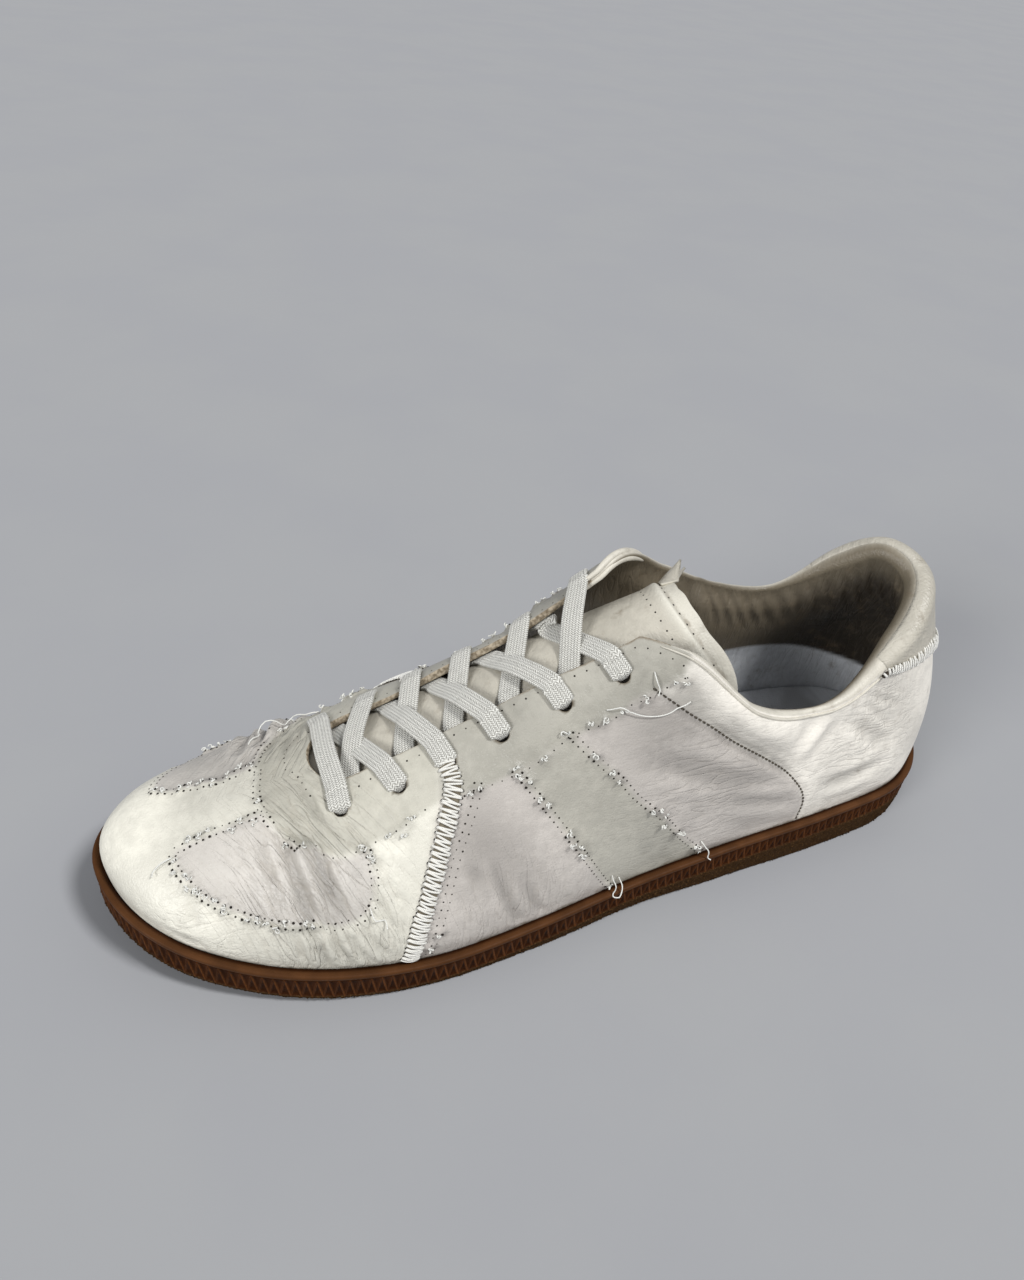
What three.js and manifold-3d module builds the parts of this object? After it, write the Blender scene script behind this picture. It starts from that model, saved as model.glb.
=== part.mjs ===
// A worn low leather sneaker for the left foot, standing empty on its gum sole.
// Millimetres, +Z up, +X to the toe, +Y to the outer side of the foot.
import * as THREE from 'three';
import { mergeVertices } from 'three/addons/utils/BufferGeometryUtils.js';
import Module from 'manifold-3d';

const wasm = await Module();
wasm.setup();

// Sections of the last, one every step round the foot from the heel along the outer side to the toe and back.
// edge: rim of the sole (x, y). top: collar, throat or ridge line (x, y, z).
// side: length and outward lean of the wall where it leaves the sole. crown: the same where it meets the top.
const STATIONS = [
  { edge: [0, 0], top: [20, 0, 95], side: [26, 10], crown: [30, 22] },
  { edge: [4.5, 16.5], top: [27, 14, 90], side: [26, 10], crown: [28, 20] },
  { edge: [22, 30.5], top: [44, 24.5, 77], side: [24, 8], crown: [24, 16] },
  { edge: [55, 36.5], top: [68, 29.3, 67], side: [20, 6], crown: [20, 14] },
  { edge: [95, 40], top: [97, 29.5, 73], side: [20, 6], crown: [20, 20] },
  { edge: [132, 44], top: [123, 20, 94], side: [24, 6], crown: [26, 38] },
  { edge: [168, 49.5], top: [152, 1, 90], side: [24, 8], crown: [26, 80] },
  { edge: [202, 53], top: [192, 0, 69.5], side: [20, 12], crown: [27, 90] },
  { edge: [232, 50.5], top: [228, -1, 53.5], side: [16, 16], crown: [27, 90] },
  { edge: [257, 43], top: [245, -2.2, 48.5], side: [15, 18], crown: [25, 90] },
  { edge: [277.5, 31.5], top: [255, -3, 46.2], side: [14, 18], crown: [22, 90] },
  { edge: [291, 15.5], top: [261, -3.4, 44.8], side: [13, 18], crown: [19, 90] },
  { edge: [296.5, -3.5], top: [263, -3.6, 44.2], side: [13, 18], crown: [18, 90] },
  { edge: [290.5, -19.5], top: [261, -3.4, 44.8], side: [12, 12], crown: [16, 90] },
  { edge: [275.5, -32.5], top: [255, -3, 46.2], side: [12, 9], crown: [18, 90] },
  { edge: [253.5, -42], top: [245, -2.2, 48.5], side: [13, 8], crown: [20, 90] },
  { edge: [228, -47.5], top: [228, -1, 53.5], side: [15, 8], crown: [23, 90] },
  { edge: [201, -48], top: [192, 0, 69.5], side: [18, 8], crown: [26, 90] },
  { edge: [172, -44], top: [160, 0, 86.5], side: [22, 6], crown: [27, 85] },
  { edge: [143, -37.5], top: [130, -17, 103], side: [24, 4], crown: [26, 50] },
  { edge: [111, -33], top: [106, -27, 88.5], side: [24, 2], crown: [24, 22] },
  { edge: [80, -32.5], top: [82, -30, 75.5], side: [22, 4], crown: [22, 14] },
  { edge: [52, -34], top: [58, -29.5, 71.5], side: [20, 6], crown: [20, 14] },
  { edge: [22, -29], top: [38, -25, 86], side: [24, 8], crown: [26, 16] },
  { edge: [4.5, -16], top: [26, -15, 96.5], side: [26, 10], crown: [30, 20] },
];
const TOE_STATION = 12;
const VAMP_STATIONS = [8, 16];
const RIDGE = { slope: -0.33, startX: 150, fullX: 210, firstStation: 5, lastStation: 19.5 };

const WALL = 2;
const COLLAR_WALL = 2.8;
const COLLAR_STATIONS = { outer: [4.4, 5.4], inner: [19, 20] };
const COLLAR_PAD = [0.35, 0.8];
const GAP = 0.3;

const THROAT = { half: 12.5, front: 231, back: 90 };
const THROAT_CORNERS = { outer: [5, 5.6], inner: [18.7, 19.4], bend: 0.36 };
const CENTRE_LINE = [[0, 0], [150, 0], [228, -1], [264, -3.6], [300, -6]];
const EYELET = { radius: 2.2, fromEdge: 9.5, depth: 8, sides: 10 };
const EYELET_X = [224.5, 207.5, 193, 177, 158, 140.5];
const EYELET_STATIONS = { lateral: [5.2, 8.3], medial: [15.7, 19.4] };

// Sole: top of the lip and underside over the length, and the steps of its side.
const LIP_LINE = [[-5, 19.5], [55, 18.5], [120, 16.5], [200, 12.5], [245, 14.5], [300, 24]];
const TOE_SPRING = { from: 212, length: 84.5, rise: 11 };
const HEEL_BEVEL = { length: 20, rise: 3 };
const ARCH = { from: 98, to: 164, rise: 1.6 };
const FEATHER_INSET = 3.2;
const CUP_DEPTH = 2.5;
const LIP = {
  height: 2.6, crease: 0.4, creaseInset: 0.5, flare: 0.5, roll: 0.4, rollInset: 0.3, rimInset: 1,
};
const GROUND_ROLL = { inset: 1.8, wallInset: 0.7, height: 1 };
const RIBS = { count: 148, depth: 0.9, inset: 0.2 };
const ROUGH_WALL = { heel: 0.5, toe: 0.1, from: 30, to: 240, least: 1.2 };
const TREAD = { width: 3, depth: 1.5, margin: 9, heel: [28, 92, 6], fore: [172, 276, 9] };

const INSOLE = { thickness: 3.4, roll: 1.2, steps: 60 };

// Tongue sections from its buried front end to the raw edge at its top.
const TONGUE_SECTIONS = [
  { x: 240, z: 46.0, half: 15, drop: 3.8, sweep: 0, lift: 0 },
  { x: 220, z: 53.4, half: 19, drop: 6.2, sweep: 0, lift: 0 },
  { x: 190, z: 66.6, half: 22, drop: 9.4, sweep: 1, lift: 0 },
  { x: 160, z: 81.6, half: 23.5, drop: 14.5, sweep: 3, lift: 0 },
  { x: 140, z: 90.6, half: 24, drop: 17, sweep: 7, lift: 0 },
  { x: 126, z: 96.2, half: 23.5, drop: 18.5, sweep: 11, lift: 0.2 },
  { x: 121.5, z: 97.8, half: 23, drop: 18.5, sweep: 13, lift: 1.6 },
  { x: 119, z: 98.4, half: 23, drop: 18.5, sweep: 13.5, lift: 0.2 },
  { x: 115, z: 99.6, half: 22.5, drop: 18.5, sweep: 14.5, lift: 0 },
];
const TONGUE = { thickness: 2, across: 8, stepsPerSection: 2 };

const LACE = { width: 7.4, thickness: 1.4, steps: 14, clear: 0.6, startY: 7.8, startBack: 1.5, under: 1.25 };
const LACE_RISE = { bar: 1.6, below: 1.5, above: 2.6 };
const NEAR_ON_TOP = [1, 5];

const SEAM = { half: 2.9, height: 0.9, steps: 12 };
const SEAM_OUTER = [[7.28, 0.02], [7.17, 0.29], [6.99, 0.57], [6.91, 0.7], [6.88, 0.84]];
const SEAM_INNER = [[16.67, 0.02], [16.77, 0.29], [16.95, 0.57], [17.03, 0.7], [17.06, 0.84]];

const HEEL_TAB = { from: -2.35, to: 2.1, lowest: 0.66, corner: 0.97, height: 0.9, along: 18, up: 4 };

const COLOURS = {
  sole: 0x5a3820, upper: 0xd2cec0, tongue: 0xb4ac9c, insole: 0x8a8d90, lace: 0xd6d5cd, seam: 0xcbc8bd,
  tab: 0xcfc8b2,
};

// Curve helpers
function periodicSpline(values, at) {
  const count = values.length;
  const wrapped = ((at % count) + count) % count;
  const index = Math.floor(wrapped);
  const f = wrapped - index;
  const p0 = values[(index + count - 1) % count];
  const p1 = values[index];
  const p2 = values[(index + 1) % count];
  const p3 = values[(index + 2) % count];
  return p1.map((value, axis) => 0.5 * (2 * value + (p2[axis] - p0[axis]) * f
    + (2 * p0[axis] - 5 * value + 4 * p2[axis] - p3[axis]) * f * f
    + (3 * value - p0[axis] - 3 * p2[axis] + p3[axis]) * f * f * f));
}

// Monotone cubic through a list of [x, y] points, flat beyond both ends.
function smoothLine(points, x) {
  const last = points.length - 1;
  if (x <= points[0][0]) return points[0][1];
  if (x >= points[last][0]) return points[last][1];
  const chord = (i) => (points[i + 1][1] - points[i][1]) / (points[i + 1][0] - points[i][0]);
  const slope = (i) => {
    if (i === 0) return chord(0);
    if (i === last) return chord(last - 1);
    const before = chord(i - 1);
    const after = chord(i);
    return before * after <= 0 ? 0 : (2 * before * after) / (before + after);
  };
  let i = 0;
  while (x > points[i + 1][0]) i += 1;
  const h = points[i + 1][0] - points[i][0];
  const u = (x - points[i][0]) / h;
  return points[i][1] * (1 + 2 * u) * (1 - u) ** 2 + points[i + 1][1] * u * u * (3 - 2 * u)
    + slope(i) * h * u * (1 - u) ** 2 + slope(i + 1) * h * u * u * (u - 1);
}

function straightLine(points, x) {
  let i = 0;
  while (i < points.length - 2 && x > points[i + 1][0]) i += 1;
  const [x0, y0] = points[i];
  const [x1, y1] = points[i + 1];
  return y0 + (y1 - y0) * THREE.MathUtils.clamp((x - x0) / (x1 - x0), 0, 1);
}

// The last
const edgeRows = STATIONS.map((station) => station.edge);
const topRows = STATIONS.map((station) => station.top);
const handleRows = STATIONS.map((station) => [
  station.side[0], THREE.MathUtils.degToRad(station.side[1]),
  station.crown[0], THREE.MathUtils.degToRad(station.crown[1]),
]);

function soleEdge(s, inset) {
  const step = 1e-3;
  const [x, y] = periodicSpline(edgeRows, s);
  const ahead = periodicSpline(edgeRows, s + step);
  const behind = periodicSpline(edgeRows, s - step);
  const out = new THREE.Vector2(behind[1] - ahead[1], ahead[0] - behind[0]).normalize();
  return { point: new THREE.Vector2(x - inset * out.x, y - inset * out.y), out };
}

const lipHeight = (x) => smoothLine(LIP_LINE, x);

function undersideHeight(x) {
  const toe = THREE.MathUtils.clamp((x - TOE_SPRING.from) / TOE_SPRING.length, 0, 1);
  const heel = THREE.MathUtils.clamp((HEEL_BEVEL.length - x) / HEEL_BEVEL.length, 0, 1.2);
  const along = THREE.MathUtils.clamp((x - ARCH.from) / (ARCH.to - ARCH.from), 0, 1);
  const arch = Math.sin(Math.PI * along) ** 2;
  return TOE_SPRING.rise * toe ** 2 + HEEL_BEVEL.rise * heel ** 2 + ARCH.rise * arch;
}

// The four control points of the wall's curve from the sole to the top line.
function wallCurve(s) {
  const { point, out } = soleEdge(s, FEATHER_INSET);
  const foot = new THREE.Vector3(point.x, point.y, lipHeight(point.x));
  const top = new THREE.Vector3(...periodicSpline(topRows, s));
  const [sideLength, sideLean, crownLength, crownLean] = periodicSpline(handleRows, s);
  const reach = new THREE.Vector2(foot.x - top.x, foot.y - top.y).normalize();
  const onRidge = s > RIDGE.firstStation && s < RIDGE.lastStation;
  const alongRidge = THREE.MathUtils.clamp((top.x - RIDGE.startX) / (RIDGE.fullX - RIDGE.startX), 0, 1);
  const ridge = onRidge ? alongRidge : 0;
  const lean = Math.sin(sideLean);
  const rise = new THREE.Vector3(out.x * lean, out.y * lean, Math.cos(sideLean));
  const fall = new THREE.Vector3(reach.x * Math.sin(crownLean), reach.y * Math.sin(crownLean),
    ridge * RIDGE.slope * reach.x - Math.cos(crownLean));
  const belly = foot.clone().addScaledVector(rise, sideLength);
  const shoulder = top.clone().addScaledVector(fall, crownLength);
  return [foot, belly, shoulder, top];
}

function alongCurve(curve, t) {
  const [a, b, c, d] = curve;
  return new THREE.Vector3()
    .addScaledVector(a, (1 - t) ** 3)
    .addScaledVector(b, 3 * t * (1 - t) ** 2)
    .addScaledVector(c, 3 * t * t * (1 - t))
    .addScaledVector(d, t ** 3);
}

const lastPoint = (s, t) => alongCurve(wallCurve(s), t);

const isRidgeEnd = (s, t) => t > 0.9999 && s > VAMP_STATIONS[0] && s < VAMP_STATIONS[1];

function outwardNormal(s, t) {
  if (isRidgeEnd(s, t)) return new THREE.Vector3(-RIDGE.slope, 0, 1).normalize();
  const ds = 4e-3;
  const dt = 4e-3;
  const alongS = lastPoint(s + ds, t).sub(lastPoint(s - ds, t));
  const alongT = lastPoint(s, Math.min(t + dt, 1)).sub(lastPoint(s, Math.max(t - dt, 0)));
  return alongT.cross(alongS).normalize();
}

const offsetPoint = (s, t, distance) => lastPoint(s, t).addScaledVector(outwardNormal(s, t), distance);

// Throat: a long U cut through the top of the last
const centreLine = (x) => straightLine(CENTRE_LINE, x);

function inThroat(point) {
  if (point.x < THROAT.back || point.x > THROAT.front) return false;
  const toFront = THROAT.front - point.x;
  const half = toFront < THROAT.half
    ? Math.sqrt(THROAT.half ** 2 - (THROAT.half - toFront) ** 2)
    : THROAT.half;
  return Math.abs(point.y - centreLine(point.x)) < half;
}

function wallEnd(s) {
  const curve = wallCurve(s);
  const coarse = 120;
  let first = coarse + 1;
  for (let i = 0; i <= coarse; i += 1) {
    if (inThroat(alongCurve(curve, i / coarse))) {
      first = i;
      break;
    }
  }
  if (first > coarse) return 1;
  let low = Math.max(first - 1, 0) / coarse;
  let high = first / coarse;
  for (let i = 0; i < 24; i += 1) {
    const middle = (low + high) / 2;
    if (inThroat(alongCurve(curve, middle))) high = middle;
    else low = middle;
  }
  return low;
}

function wallThickness(s, u) {
  const station = ((s % STATIONS.length) + STATIONS.length) % STATIONS.length;
  const { outer, inner } = COLLAR_STATIONS;
  const collar = station < TOE_STATION
    ? 1 - THREE.MathUtils.smoothstep(station, outer[0], outer[1])
    : THREE.MathUtils.smoothstep(station, inner[0], inner[1]);
  return WALL + (COLLAR_WALL - WALL) * collar * THREE.MathUtils.smoothstep(u, COLLAR_PAD[0], COLLAR_PAD[1]);
}

// Mesh helpers
class Facets {
  constructor() {
    this.positions = [];
    this.triangles = [];
  }

  add(point) {
    this.positions.push(point.x, point.y, point.z);
    return this.positions.length / 3 - 1;
  }

  triangle(a, b, c) {
    this.triangles.push(a, b, c);
  }

  quad(a, b, c, d) {
    this.triangle(a, b, c);
    this.triangle(a, c, d);
  }

  geometry() {
    const raw = new THREE.BufferGeometry();
    raw.setAttribute('position', new THREE.Float32BufferAttribute(this.positions, 3));
    raw.setIndex(this.triangles);
    return withoutSlivers(mergeVertices(raw, 1e-3));
  }
}

function withoutSlivers(geometry) {
  const index = geometry.getIndex().array;
  const kept = [];
  for (let i = 0; i < index.length; i += 3) {
    const [a, b, c] = [index[i], index[i + 1], index[i + 2]];
    if (a !== b && b !== c && c !== a) kept.push(a, b, c);
  }
  geometry.setIndex(kept);
  return geometry;
}

function toManifold(source) {
  const bare = source.clone();
  bare.deleteAttribute('normal');
  bare.deleteAttribute('uv');
  const merged = mergeVertices(bare, 1e-3);
  return new wasm.Manifold(new wasm.Mesh({
    numProp: 3,
    vertProperties: Float32Array.from(merged.getAttribute('position').array),
    triVerts: Uint32Array.from(merged.getIndex().array),
  }));
}

function fromManifold(solid) {
  const mesh = solid.getMesh();
  const geometry = new THREE.BufferGeometry();
  geometry.setAttribute('position', new THREE.Float32BufferAttribute(Array.from(mesh.vertProperties), 3));
  geometry.setIndex(Array.from(mesh.triVerts));
  return geometry;
}

// A closed solid from a grid of section loops, with both end loops filled by a fan.
function loopSolid(loops) {
  const facets = new Facets();
  const rows = loops.map((loop) => loop.map((point) => facets.add(point)));
  const count = rows[0].length;
  for (let i = 0; i + 1 < rows.length; i += 1) {
    for (let j = 0; j < count; j += 1) {
      const k = (j + 1) % count;
      facets.quad(rows[i][j], rows[i][k], rows[i + 1][k], rows[i + 1][j]);
    }
  }
  for (let j = 1; j + 1 < count; j += 1) {
    facets.triangle(rows[0][0], rows[0][j + 1], rows[0][j]);
    const end = rows[rows.length - 1];
    facets.triangle(end[0], end[j], end[j + 1]);
  }
  return facets.geometry();
}

// Upper
function span(from, to, steps) {
  return Array.from({ length: steps }, (_, i) => from + ((to - from) * i) / steps);
}

function frontStation() {
  let low = 8;
  let high = 9;
  for (let i = 0; i < 30; i += 1) {
    const middle = (low + high) / 2;
    if (periodicSpline(topRows, middle)[0] < THROAT.front) low = middle;
    else high = middle;
  }
  return high;
}

function upperStations() {
  const front = frontStation();
  const mirrored = 2 * TOE_STATION - front;
  const { outer, inner, bend } = THROAT_CORNERS;
  const toe = span(front, TOE_STATION, 11);
  const lateral = [...span(0, outer[0], 15), ...span(outer[0], outer[1], 4),
    ...span(outer[1], front - bend, 9), ...span(front - bend, front, 5), ...toe, TOE_STATION];
  const medial = [...toe.map((s) => 2 * TOE_STATION - s).reverse(),
    ...span(mirrored, mirrored + bend, 5).slice(1), ...span(mirrored + bend, inner[0], 9),
    ...span(inner[0], inner[1], 4), ...span(inner[1], STATIONS.length, 16)];
  return { stations: [...lateral, ...medial], front, mirrored };
}

const UPPER_ROWS = [0, 0.07, 0.16, 0.27, 0.39, 0.52, 0.65, 0.78, 0.9, 1];

function upperShell() {
  const { stations, front, mirrored } = upperStations();
  const facets = new Facets();
  const columns = stations.map((s) => {
    const end = wallEnd(s);
    const outside = UPPER_ROWS.map((u) => lastPoint(s, u * end));
    const inside = UPPER_ROWS.map((u) => offsetPoint(s, u * end, -wallThickness(s, u)));
    inside[0].z = outside[0].z;
    const sink = new THREE.Vector3(0, 0, CUP_DEPTH - GAP);
    outside.unshift(outside[0].clone().sub(sink));
    inside.unshift(inside[0].clone().sub(sink));
    const indices = (points) => points.map((point) => facets.add(point));
    return { s, outside: indices(outside), inside: indices(inside) };
  });
  columns.forEach((column, i) => {
    const next = columns[(i + 1) % columns.length];
    const last = column.outside.length - 1;
    for (let j = 0; j < last; j += 1) {
      facets.quad(column.outside[j], column.outside[j + 1], next.outside[j + 1], next.outside[j]);
      facets.quad(column.inside[j], next.inside[j], next.inside[j + 1], column.inside[j + 1]);
    }
    facets.quad(column.outside[0], next.outside[0], next.inside[0], column.inside[0]);
    const closed = column.s >= front - 1e-9 && column.s < mirrored - 1e-9;
    if (closed) return;
    facets.quad(column.outside[last], column.inside[last], next.inside[last], next.outside[last]);
  });
  return facets.geometry();
}

// Point on the upper a set distance below the throat edge, at a given x.
function eyeletPlace(x, lateral) {
  let [low, high] = lateral ? EYELET_STATIONS.lateral : EYELET_STATIONS.medial;
  let found = null;
  for (let i = 0; i < 40; i += 1) {
    const s = (low + high) / 2;
    const end = wallEnd(s);
    let t = end;
    let travelled = 0;
    let previous = lastPoint(s, end);
    while (travelled < EYELET.fromEdge) {
      t -= 0.004;
      const point = lastPoint(s, t);
      travelled += point.distanceTo(previous);
      previous = point;
    }
    found = { s, t, end, point: previous, normal: outwardNormal(s, t) };
    const goForward = previous.x < x;
    if (goForward === lateral) low = s;
    else high = s;
  }
  return found;
}

const eyelets = {
  lateral: EYELET_X.map((x) => eyeletPlace(x, true)),
  medial: EYELET_X.map((x) => eyeletPlace(x, false)),
};

function punchedUpper() {
  let solid = toManifold(upperShell());
  for (const place of [...eyelets.lateral, ...eyelets.medial]) {
    const punch = new THREE.CylinderGeometry(EYELET.radius, EYELET.radius, EYELET.depth, EYELET.sides);
    const turn = new THREE.Quaternion().setFromUnitVectors(new THREE.Vector3(0, 1, 0), place.normal);
    punch.applyQuaternion(turn);
    punch.translate(place.point.x, place.point.y, place.point.z);
    solid = solid.subtract(toManifold(punch));
  }
  return fromManifold(solid);
}

// Stations spaced evenly along the sole's edge
function evenStations(count, inset) {
  const fine = 2000;
  const lengths = [0];
  let previous = soleEdge(0, inset).point;
  for (let i = 1; i <= fine; i += 1) {
    const next = soleEdge((i * STATIONS.length) / fine, inset).point;
    lengths.push(lengths[i - 1] + next.distanceTo(previous));
    previous = next;
  }
  const stations = [];
  let i = 0;
  for (let k = 0; k < count; k += 1) {
    const wanted = (lengths[fine] * k) / count;
    while (lengths[i + 1] < wanted) i += 1;
    const f = (wanted - lengths[i]) / (lengths[i + 1] - lengths[i]);
    stations.push(((i + f) * STATIONS.length) / fine);
  }
  return stations;
}

// Fill a ring of vertices with rungs from side to side.
function ladder(facets, ring, upward) {
  const count = ring.length;
  for (let i = 0; i < count / 2; i += 1) {
    const a = ring[i];
    const b = ring[i + 1];
    const c = ring[(count - i - 1) % count];
    const d = ring[(count - i) % count];
    if (upward) facets.quad(d, c, b, a);
    else facets.quad(a, b, c, d);
  }
}

function soleRing(facets, stations, inset, height) {
  return stations.map((s) => {
    const { point } = soleEdge(s, inset);
    return facets.add(new THREE.Vector3(point.x, point.y, height(soleEdge(s, 0).point.x, point.x)));
  });
}

function band(facets, lower, upper) {
  lower.forEach((vertex, i) => {
    const next = (i + 1) % lower.length;
    facets.quad(upper[i], upper[next], lower[next], vertex);
  });
}

// Ribs: a row of upright and hanging triangles, each one a shallow pyramid sunk into the wall.
function ribBand(facets, stations, lower, upper) {
  const centre = (...vertices) => {
    const middle = new THREE.Vector3();
    vertices.forEach((v) => middle.add(new THREE.Vector3().fromArray(facets.positions, 3 * v)));
    return middle.divideScalar(vertices.length);
  };
  const sunk = (s, ...vertices) => {
    const { out } = soleEdge(s, 0);
    const inward = new THREE.Vector3(out.x, out.y, 0).multiplyScalar(-RIBS.depth);
    return facets.add(centre(...vertices).add(inward));
  };
  const pyramid = (s, a, b, c) => {
    const tip = sunk(s, a, b, c);
    facets.triangle(a, b, tip);
    facets.triangle(b, c, tip);
    facets.triangle(c, a, tip);
  };
  lower.forEach((vertex, i) => {
    const next = (i + 1) % lower.length;
    pyramid(stations[i], upper[i], lower[next], vertex);
    pyramid(stations[i], upper[i], upper[next], lower[next]);
  });
}

function halfWidths(x) {
  const inside = evenStations(400, TREAD.margin).map((s) => soleEdge(s, TREAD.margin).point);
  const near = inside.filter((point) => Math.abs(point.x - x) < 3).map((point) => point.y);
  return [Math.min(...near), Math.max(...near)];
}

function treadGroove(x) {
  const [low, high] = halfWidths(x);
  const groove = new THREE.BoxGeometry(TREAD.width, high - low, 2 * TREAD.depth);
  groove.translate(x, (low + high) / 2, undersideHeight(x));
  return groove;
}

function soleSolid() {
  const facets = new Facets();
  const stations = evenStations(RIBS.count, 0);
  const lipFootHeight = (x) => lipHeight(x) - LIP.height;
  const ribTop = (x) => lipFootHeight(x) - LIP.crease;
  const ribFoot = (x) => {
    const lowest = undersideHeight(x) + ROUGH_WALL.least;
    const toToe = THREE.MathUtils.smoothstep(x, ROUGH_WALL.from, ROUGH_WALL.to);
    return lowest + THREE.MathUtils.lerp(ROUGH_WALL.heel, ROUGH_WALL.toe, toToe) * (ribTop(x) - lowest);
  };
  const bottom = soleRing(facets, stations, GROUND_ROLL.inset, undersideHeight);
  const wallFootHeight = (x) => undersideHeight(x) + GROUND_ROLL.height;
  const wallFoot = soleRing(facets, stations, GROUND_ROLL.wallInset, wallFootHeight);
  const low = soleRing(facets, stations, RIBS.inset, ribFoot);
  const high = soleRing(facets, stations, RIBS.inset, ribTop);
  const lipFoot = soleRing(facets, stations, LIP.creaseInset, lipFootHeight);
  const lipSide = soleRing(facets, stations, 0, (x) => lipFootHeight(x) + LIP.flare);
  const lipEdge = soleRing(facets, stations, LIP.rollInset, (x) => lipHeight(x) - LIP.roll);
  const lipTop = soleRing(facets, stations, LIP.rimInset, lipHeight);
  const lipInside = soleRing(facets, stations, FEATHER_INSET - GAP, (x, here) => lipHeight(here));
  const cup = soleRing(facets, stations, FEATHER_INSET - GAP, (x, here) => lipHeight(here) - CUP_DEPTH);
  ladder(facets, bottom, false);
  band(facets, bottom, wallFoot);
  band(facets, wallFoot, low);
  ribBand(facets, stations, low, high);
  band(facets, high, lipFoot);
  band(facets, lipFoot, lipSide);
  band(facets, lipSide, lipEdge);
  band(facets, lipEdge, lipTop);
  band(facets, lipTop, lipInside);
  band(facets, lipInside, cup);
  ladder(facets, cup, true);
  let solid = toManifold(facets.geometry());
  for (const [from, to, count] of [TREAD.heel, TREAD.fore]) {
    for (let i = 0; i < count; i += 1) {
      const x = from + ((to - from) * i) / (count - 1);
      solid = solid.subtract(toManifold(treadGroove(x)));
    }
  }
  return fromManifold(solid);
}

function insoleSolid() {
  const facets = new Facets();
  const inset = FEATHER_INSET + WALL + 2 * GAP;
  const stations = evenStations(INSOLE.steps, inset);
  const floor = (x, here) => lipHeight(here) - CUP_DEPTH + GAP;
  const bottom = soleRing(facets, stations, inset, floor);
  const face = (x, here) => floor(x, here) + INSOLE.thickness;
  const side = soleRing(facets, stations, inset, (x, here) => face(x, here) - INSOLE.roll);
  const rim = soleRing(facets, stations, inset + INSOLE.roll, face);
  ladder(facets, bottom, false);
  band(facets, bottom, side);
  band(facets, side, rim);
  ladder(facets, rim, true);
  return facets.geometry();
}

// Tongue
function tongueSection(v) {
  const keys = ['x', 'z', 'half', 'drop', 'sweep', 'lift'];
  const section = {};
  for (const key of keys) section[key] = smoothLine(TONGUE_SECTIONS.map((row, i) => [i, row[key]]), v);
  return section;
}

function tonguePoint(v, w) {
  const row = tongueSection(v);
  return new THREE.Vector3(row.x - row.sweep * w * w, centreLine(row.x) + row.half * w,
    row.z - row.drop * w * w + row.lift * (1 - w ** 6));
}

function tongueNormal(v, w) {
  const last = TONGUE_SECTIONS.length - 1;
  const step = 0.05;
  const along = tonguePoint(Math.min(v + step, last), w).sub(tonguePoint(Math.max(v - step, 0), w));
  const across = tonguePoint(v, w + step).sub(tonguePoint(v, w - step));
  const normal = across.cross(along).normalize();
  return normal.z < 0 ? normal.negate() : normal;
}

function tongueSolid() {
  const rows = (TONGUE_SECTIONS.length - 1) * TONGUE.stepsPerSection;
  const loops = [];
  for (let i = 0; i <= rows; i += 1) {
    const v = i / TONGUE.stepsPerSection;
    const above = [];
    const below = [];
    for (let j = 0; j <= TONGUE.across; j += 1) {
      const w = (2 * j) / TONGUE.across - 1;
      const point = tonguePoint(v, w);
      above.push(point);
      const plain = point.clone();
      plain.z -= tongueSection(v).lift * (1 - w ** 6);
      below.unshift(plain.addScaledVector(tongueNormal(Math.round(v), w), -TONGUE.thickness));
    }
    loops.push([...above, ...below]);
  }
  return loopSolid(loops);
}

// Top of the tongue under a point of the throat.
function tongueHeight(x, y) {
  let best = null;
  for (let v = 0; v <= TONGUE_SECTIONS.length - 1; v += 0.05) {
    const row = tongueSection(v);
    const w = (y - centreLine(row.x)) / row.half;
    const point = tonguePoint(v, w);
    const miss = Math.abs(point.x - x);
    if (!best || miss < best.miss) best = { miss, z: point.z };
  }
  return best.z;
}

// Lace
function laceStrip(path) {
  const curve = new THREE.CatmullRomCurve3(path.map((knot) => knot.point), false, 'centripetal');
  const loops = [];
  for (let i = 0; i <= LACE.steps; i += 1) {
    const f = i / LACE.steps;
    const place = f * (path.length - 1);
    const k = Math.min(Math.floor(place), path.length - 2);
    const up = path[k].up.clone().lerp(path[k + 1].up, place - k).normalize();
    const point = curve.getPoint(f);
    const tangent = curve.getTangent(f);
    const side = new THREE.Vector3().crossVectors(tangent, up).normalize();
    const face = new THREE.Vector3().crossVectors(side, tangent).normalize();
    const corner = (a, b) => point.clone().addScaledVector(side, (a * LACE.width) / 2)
      .addScaledVector(face, (b * LACE.thickness) / 2);
    loops.push([corner(-1, -1), corner(-1, 1), corner(1, 1), corner(1, -1)]);
  }
  return loopSolid(loops);
}

const THROAT_UP = new THREE.Vector3(0.42, 0, 0.9).normalize();

function eyeletKnots(place) {
  const rise = LACE.clear + LACE.thickness / 2;
  const over = (t) => {
    const up = outwardNormal(place.s, t);
    return { point: lastPoint(place.s, t).addScaledVector(up, rise), up };
  };
  const middle = (place.t + place.end) / 2;
  const edge = over(place.end);
  edge.up.lerp(THROAT_UP, 0.5).normalize();
  return [edge, over(middle), over(place.t)];
}

// One strand from under the eyestay on one side, over the other side's edge and down to its eyelet.
function crossingStrand(from, to, rise) {
  const side = Math.sign(from.point.y);
  const startX = from.point.x - LACE.startBack;
  const startY = centreLine(startX) + side * LACE.startY;
  const lift = LACE.under + LACE.thickness / 2;
  const start = new THREE.Vector3(startX, startY, tongueHeight(startX, startY) + lift);
  const landing = eyeletKnots(to);
  const middle = start.clone().lerp(landing[0].point, 0.5);
  middle.addScaledVector(THROAT_UP, rise);
  return laceStrip([{ point: start, up: THROAT_UP }, { point: middle, up: THROAT_UP }, ...landing]);
}

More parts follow.
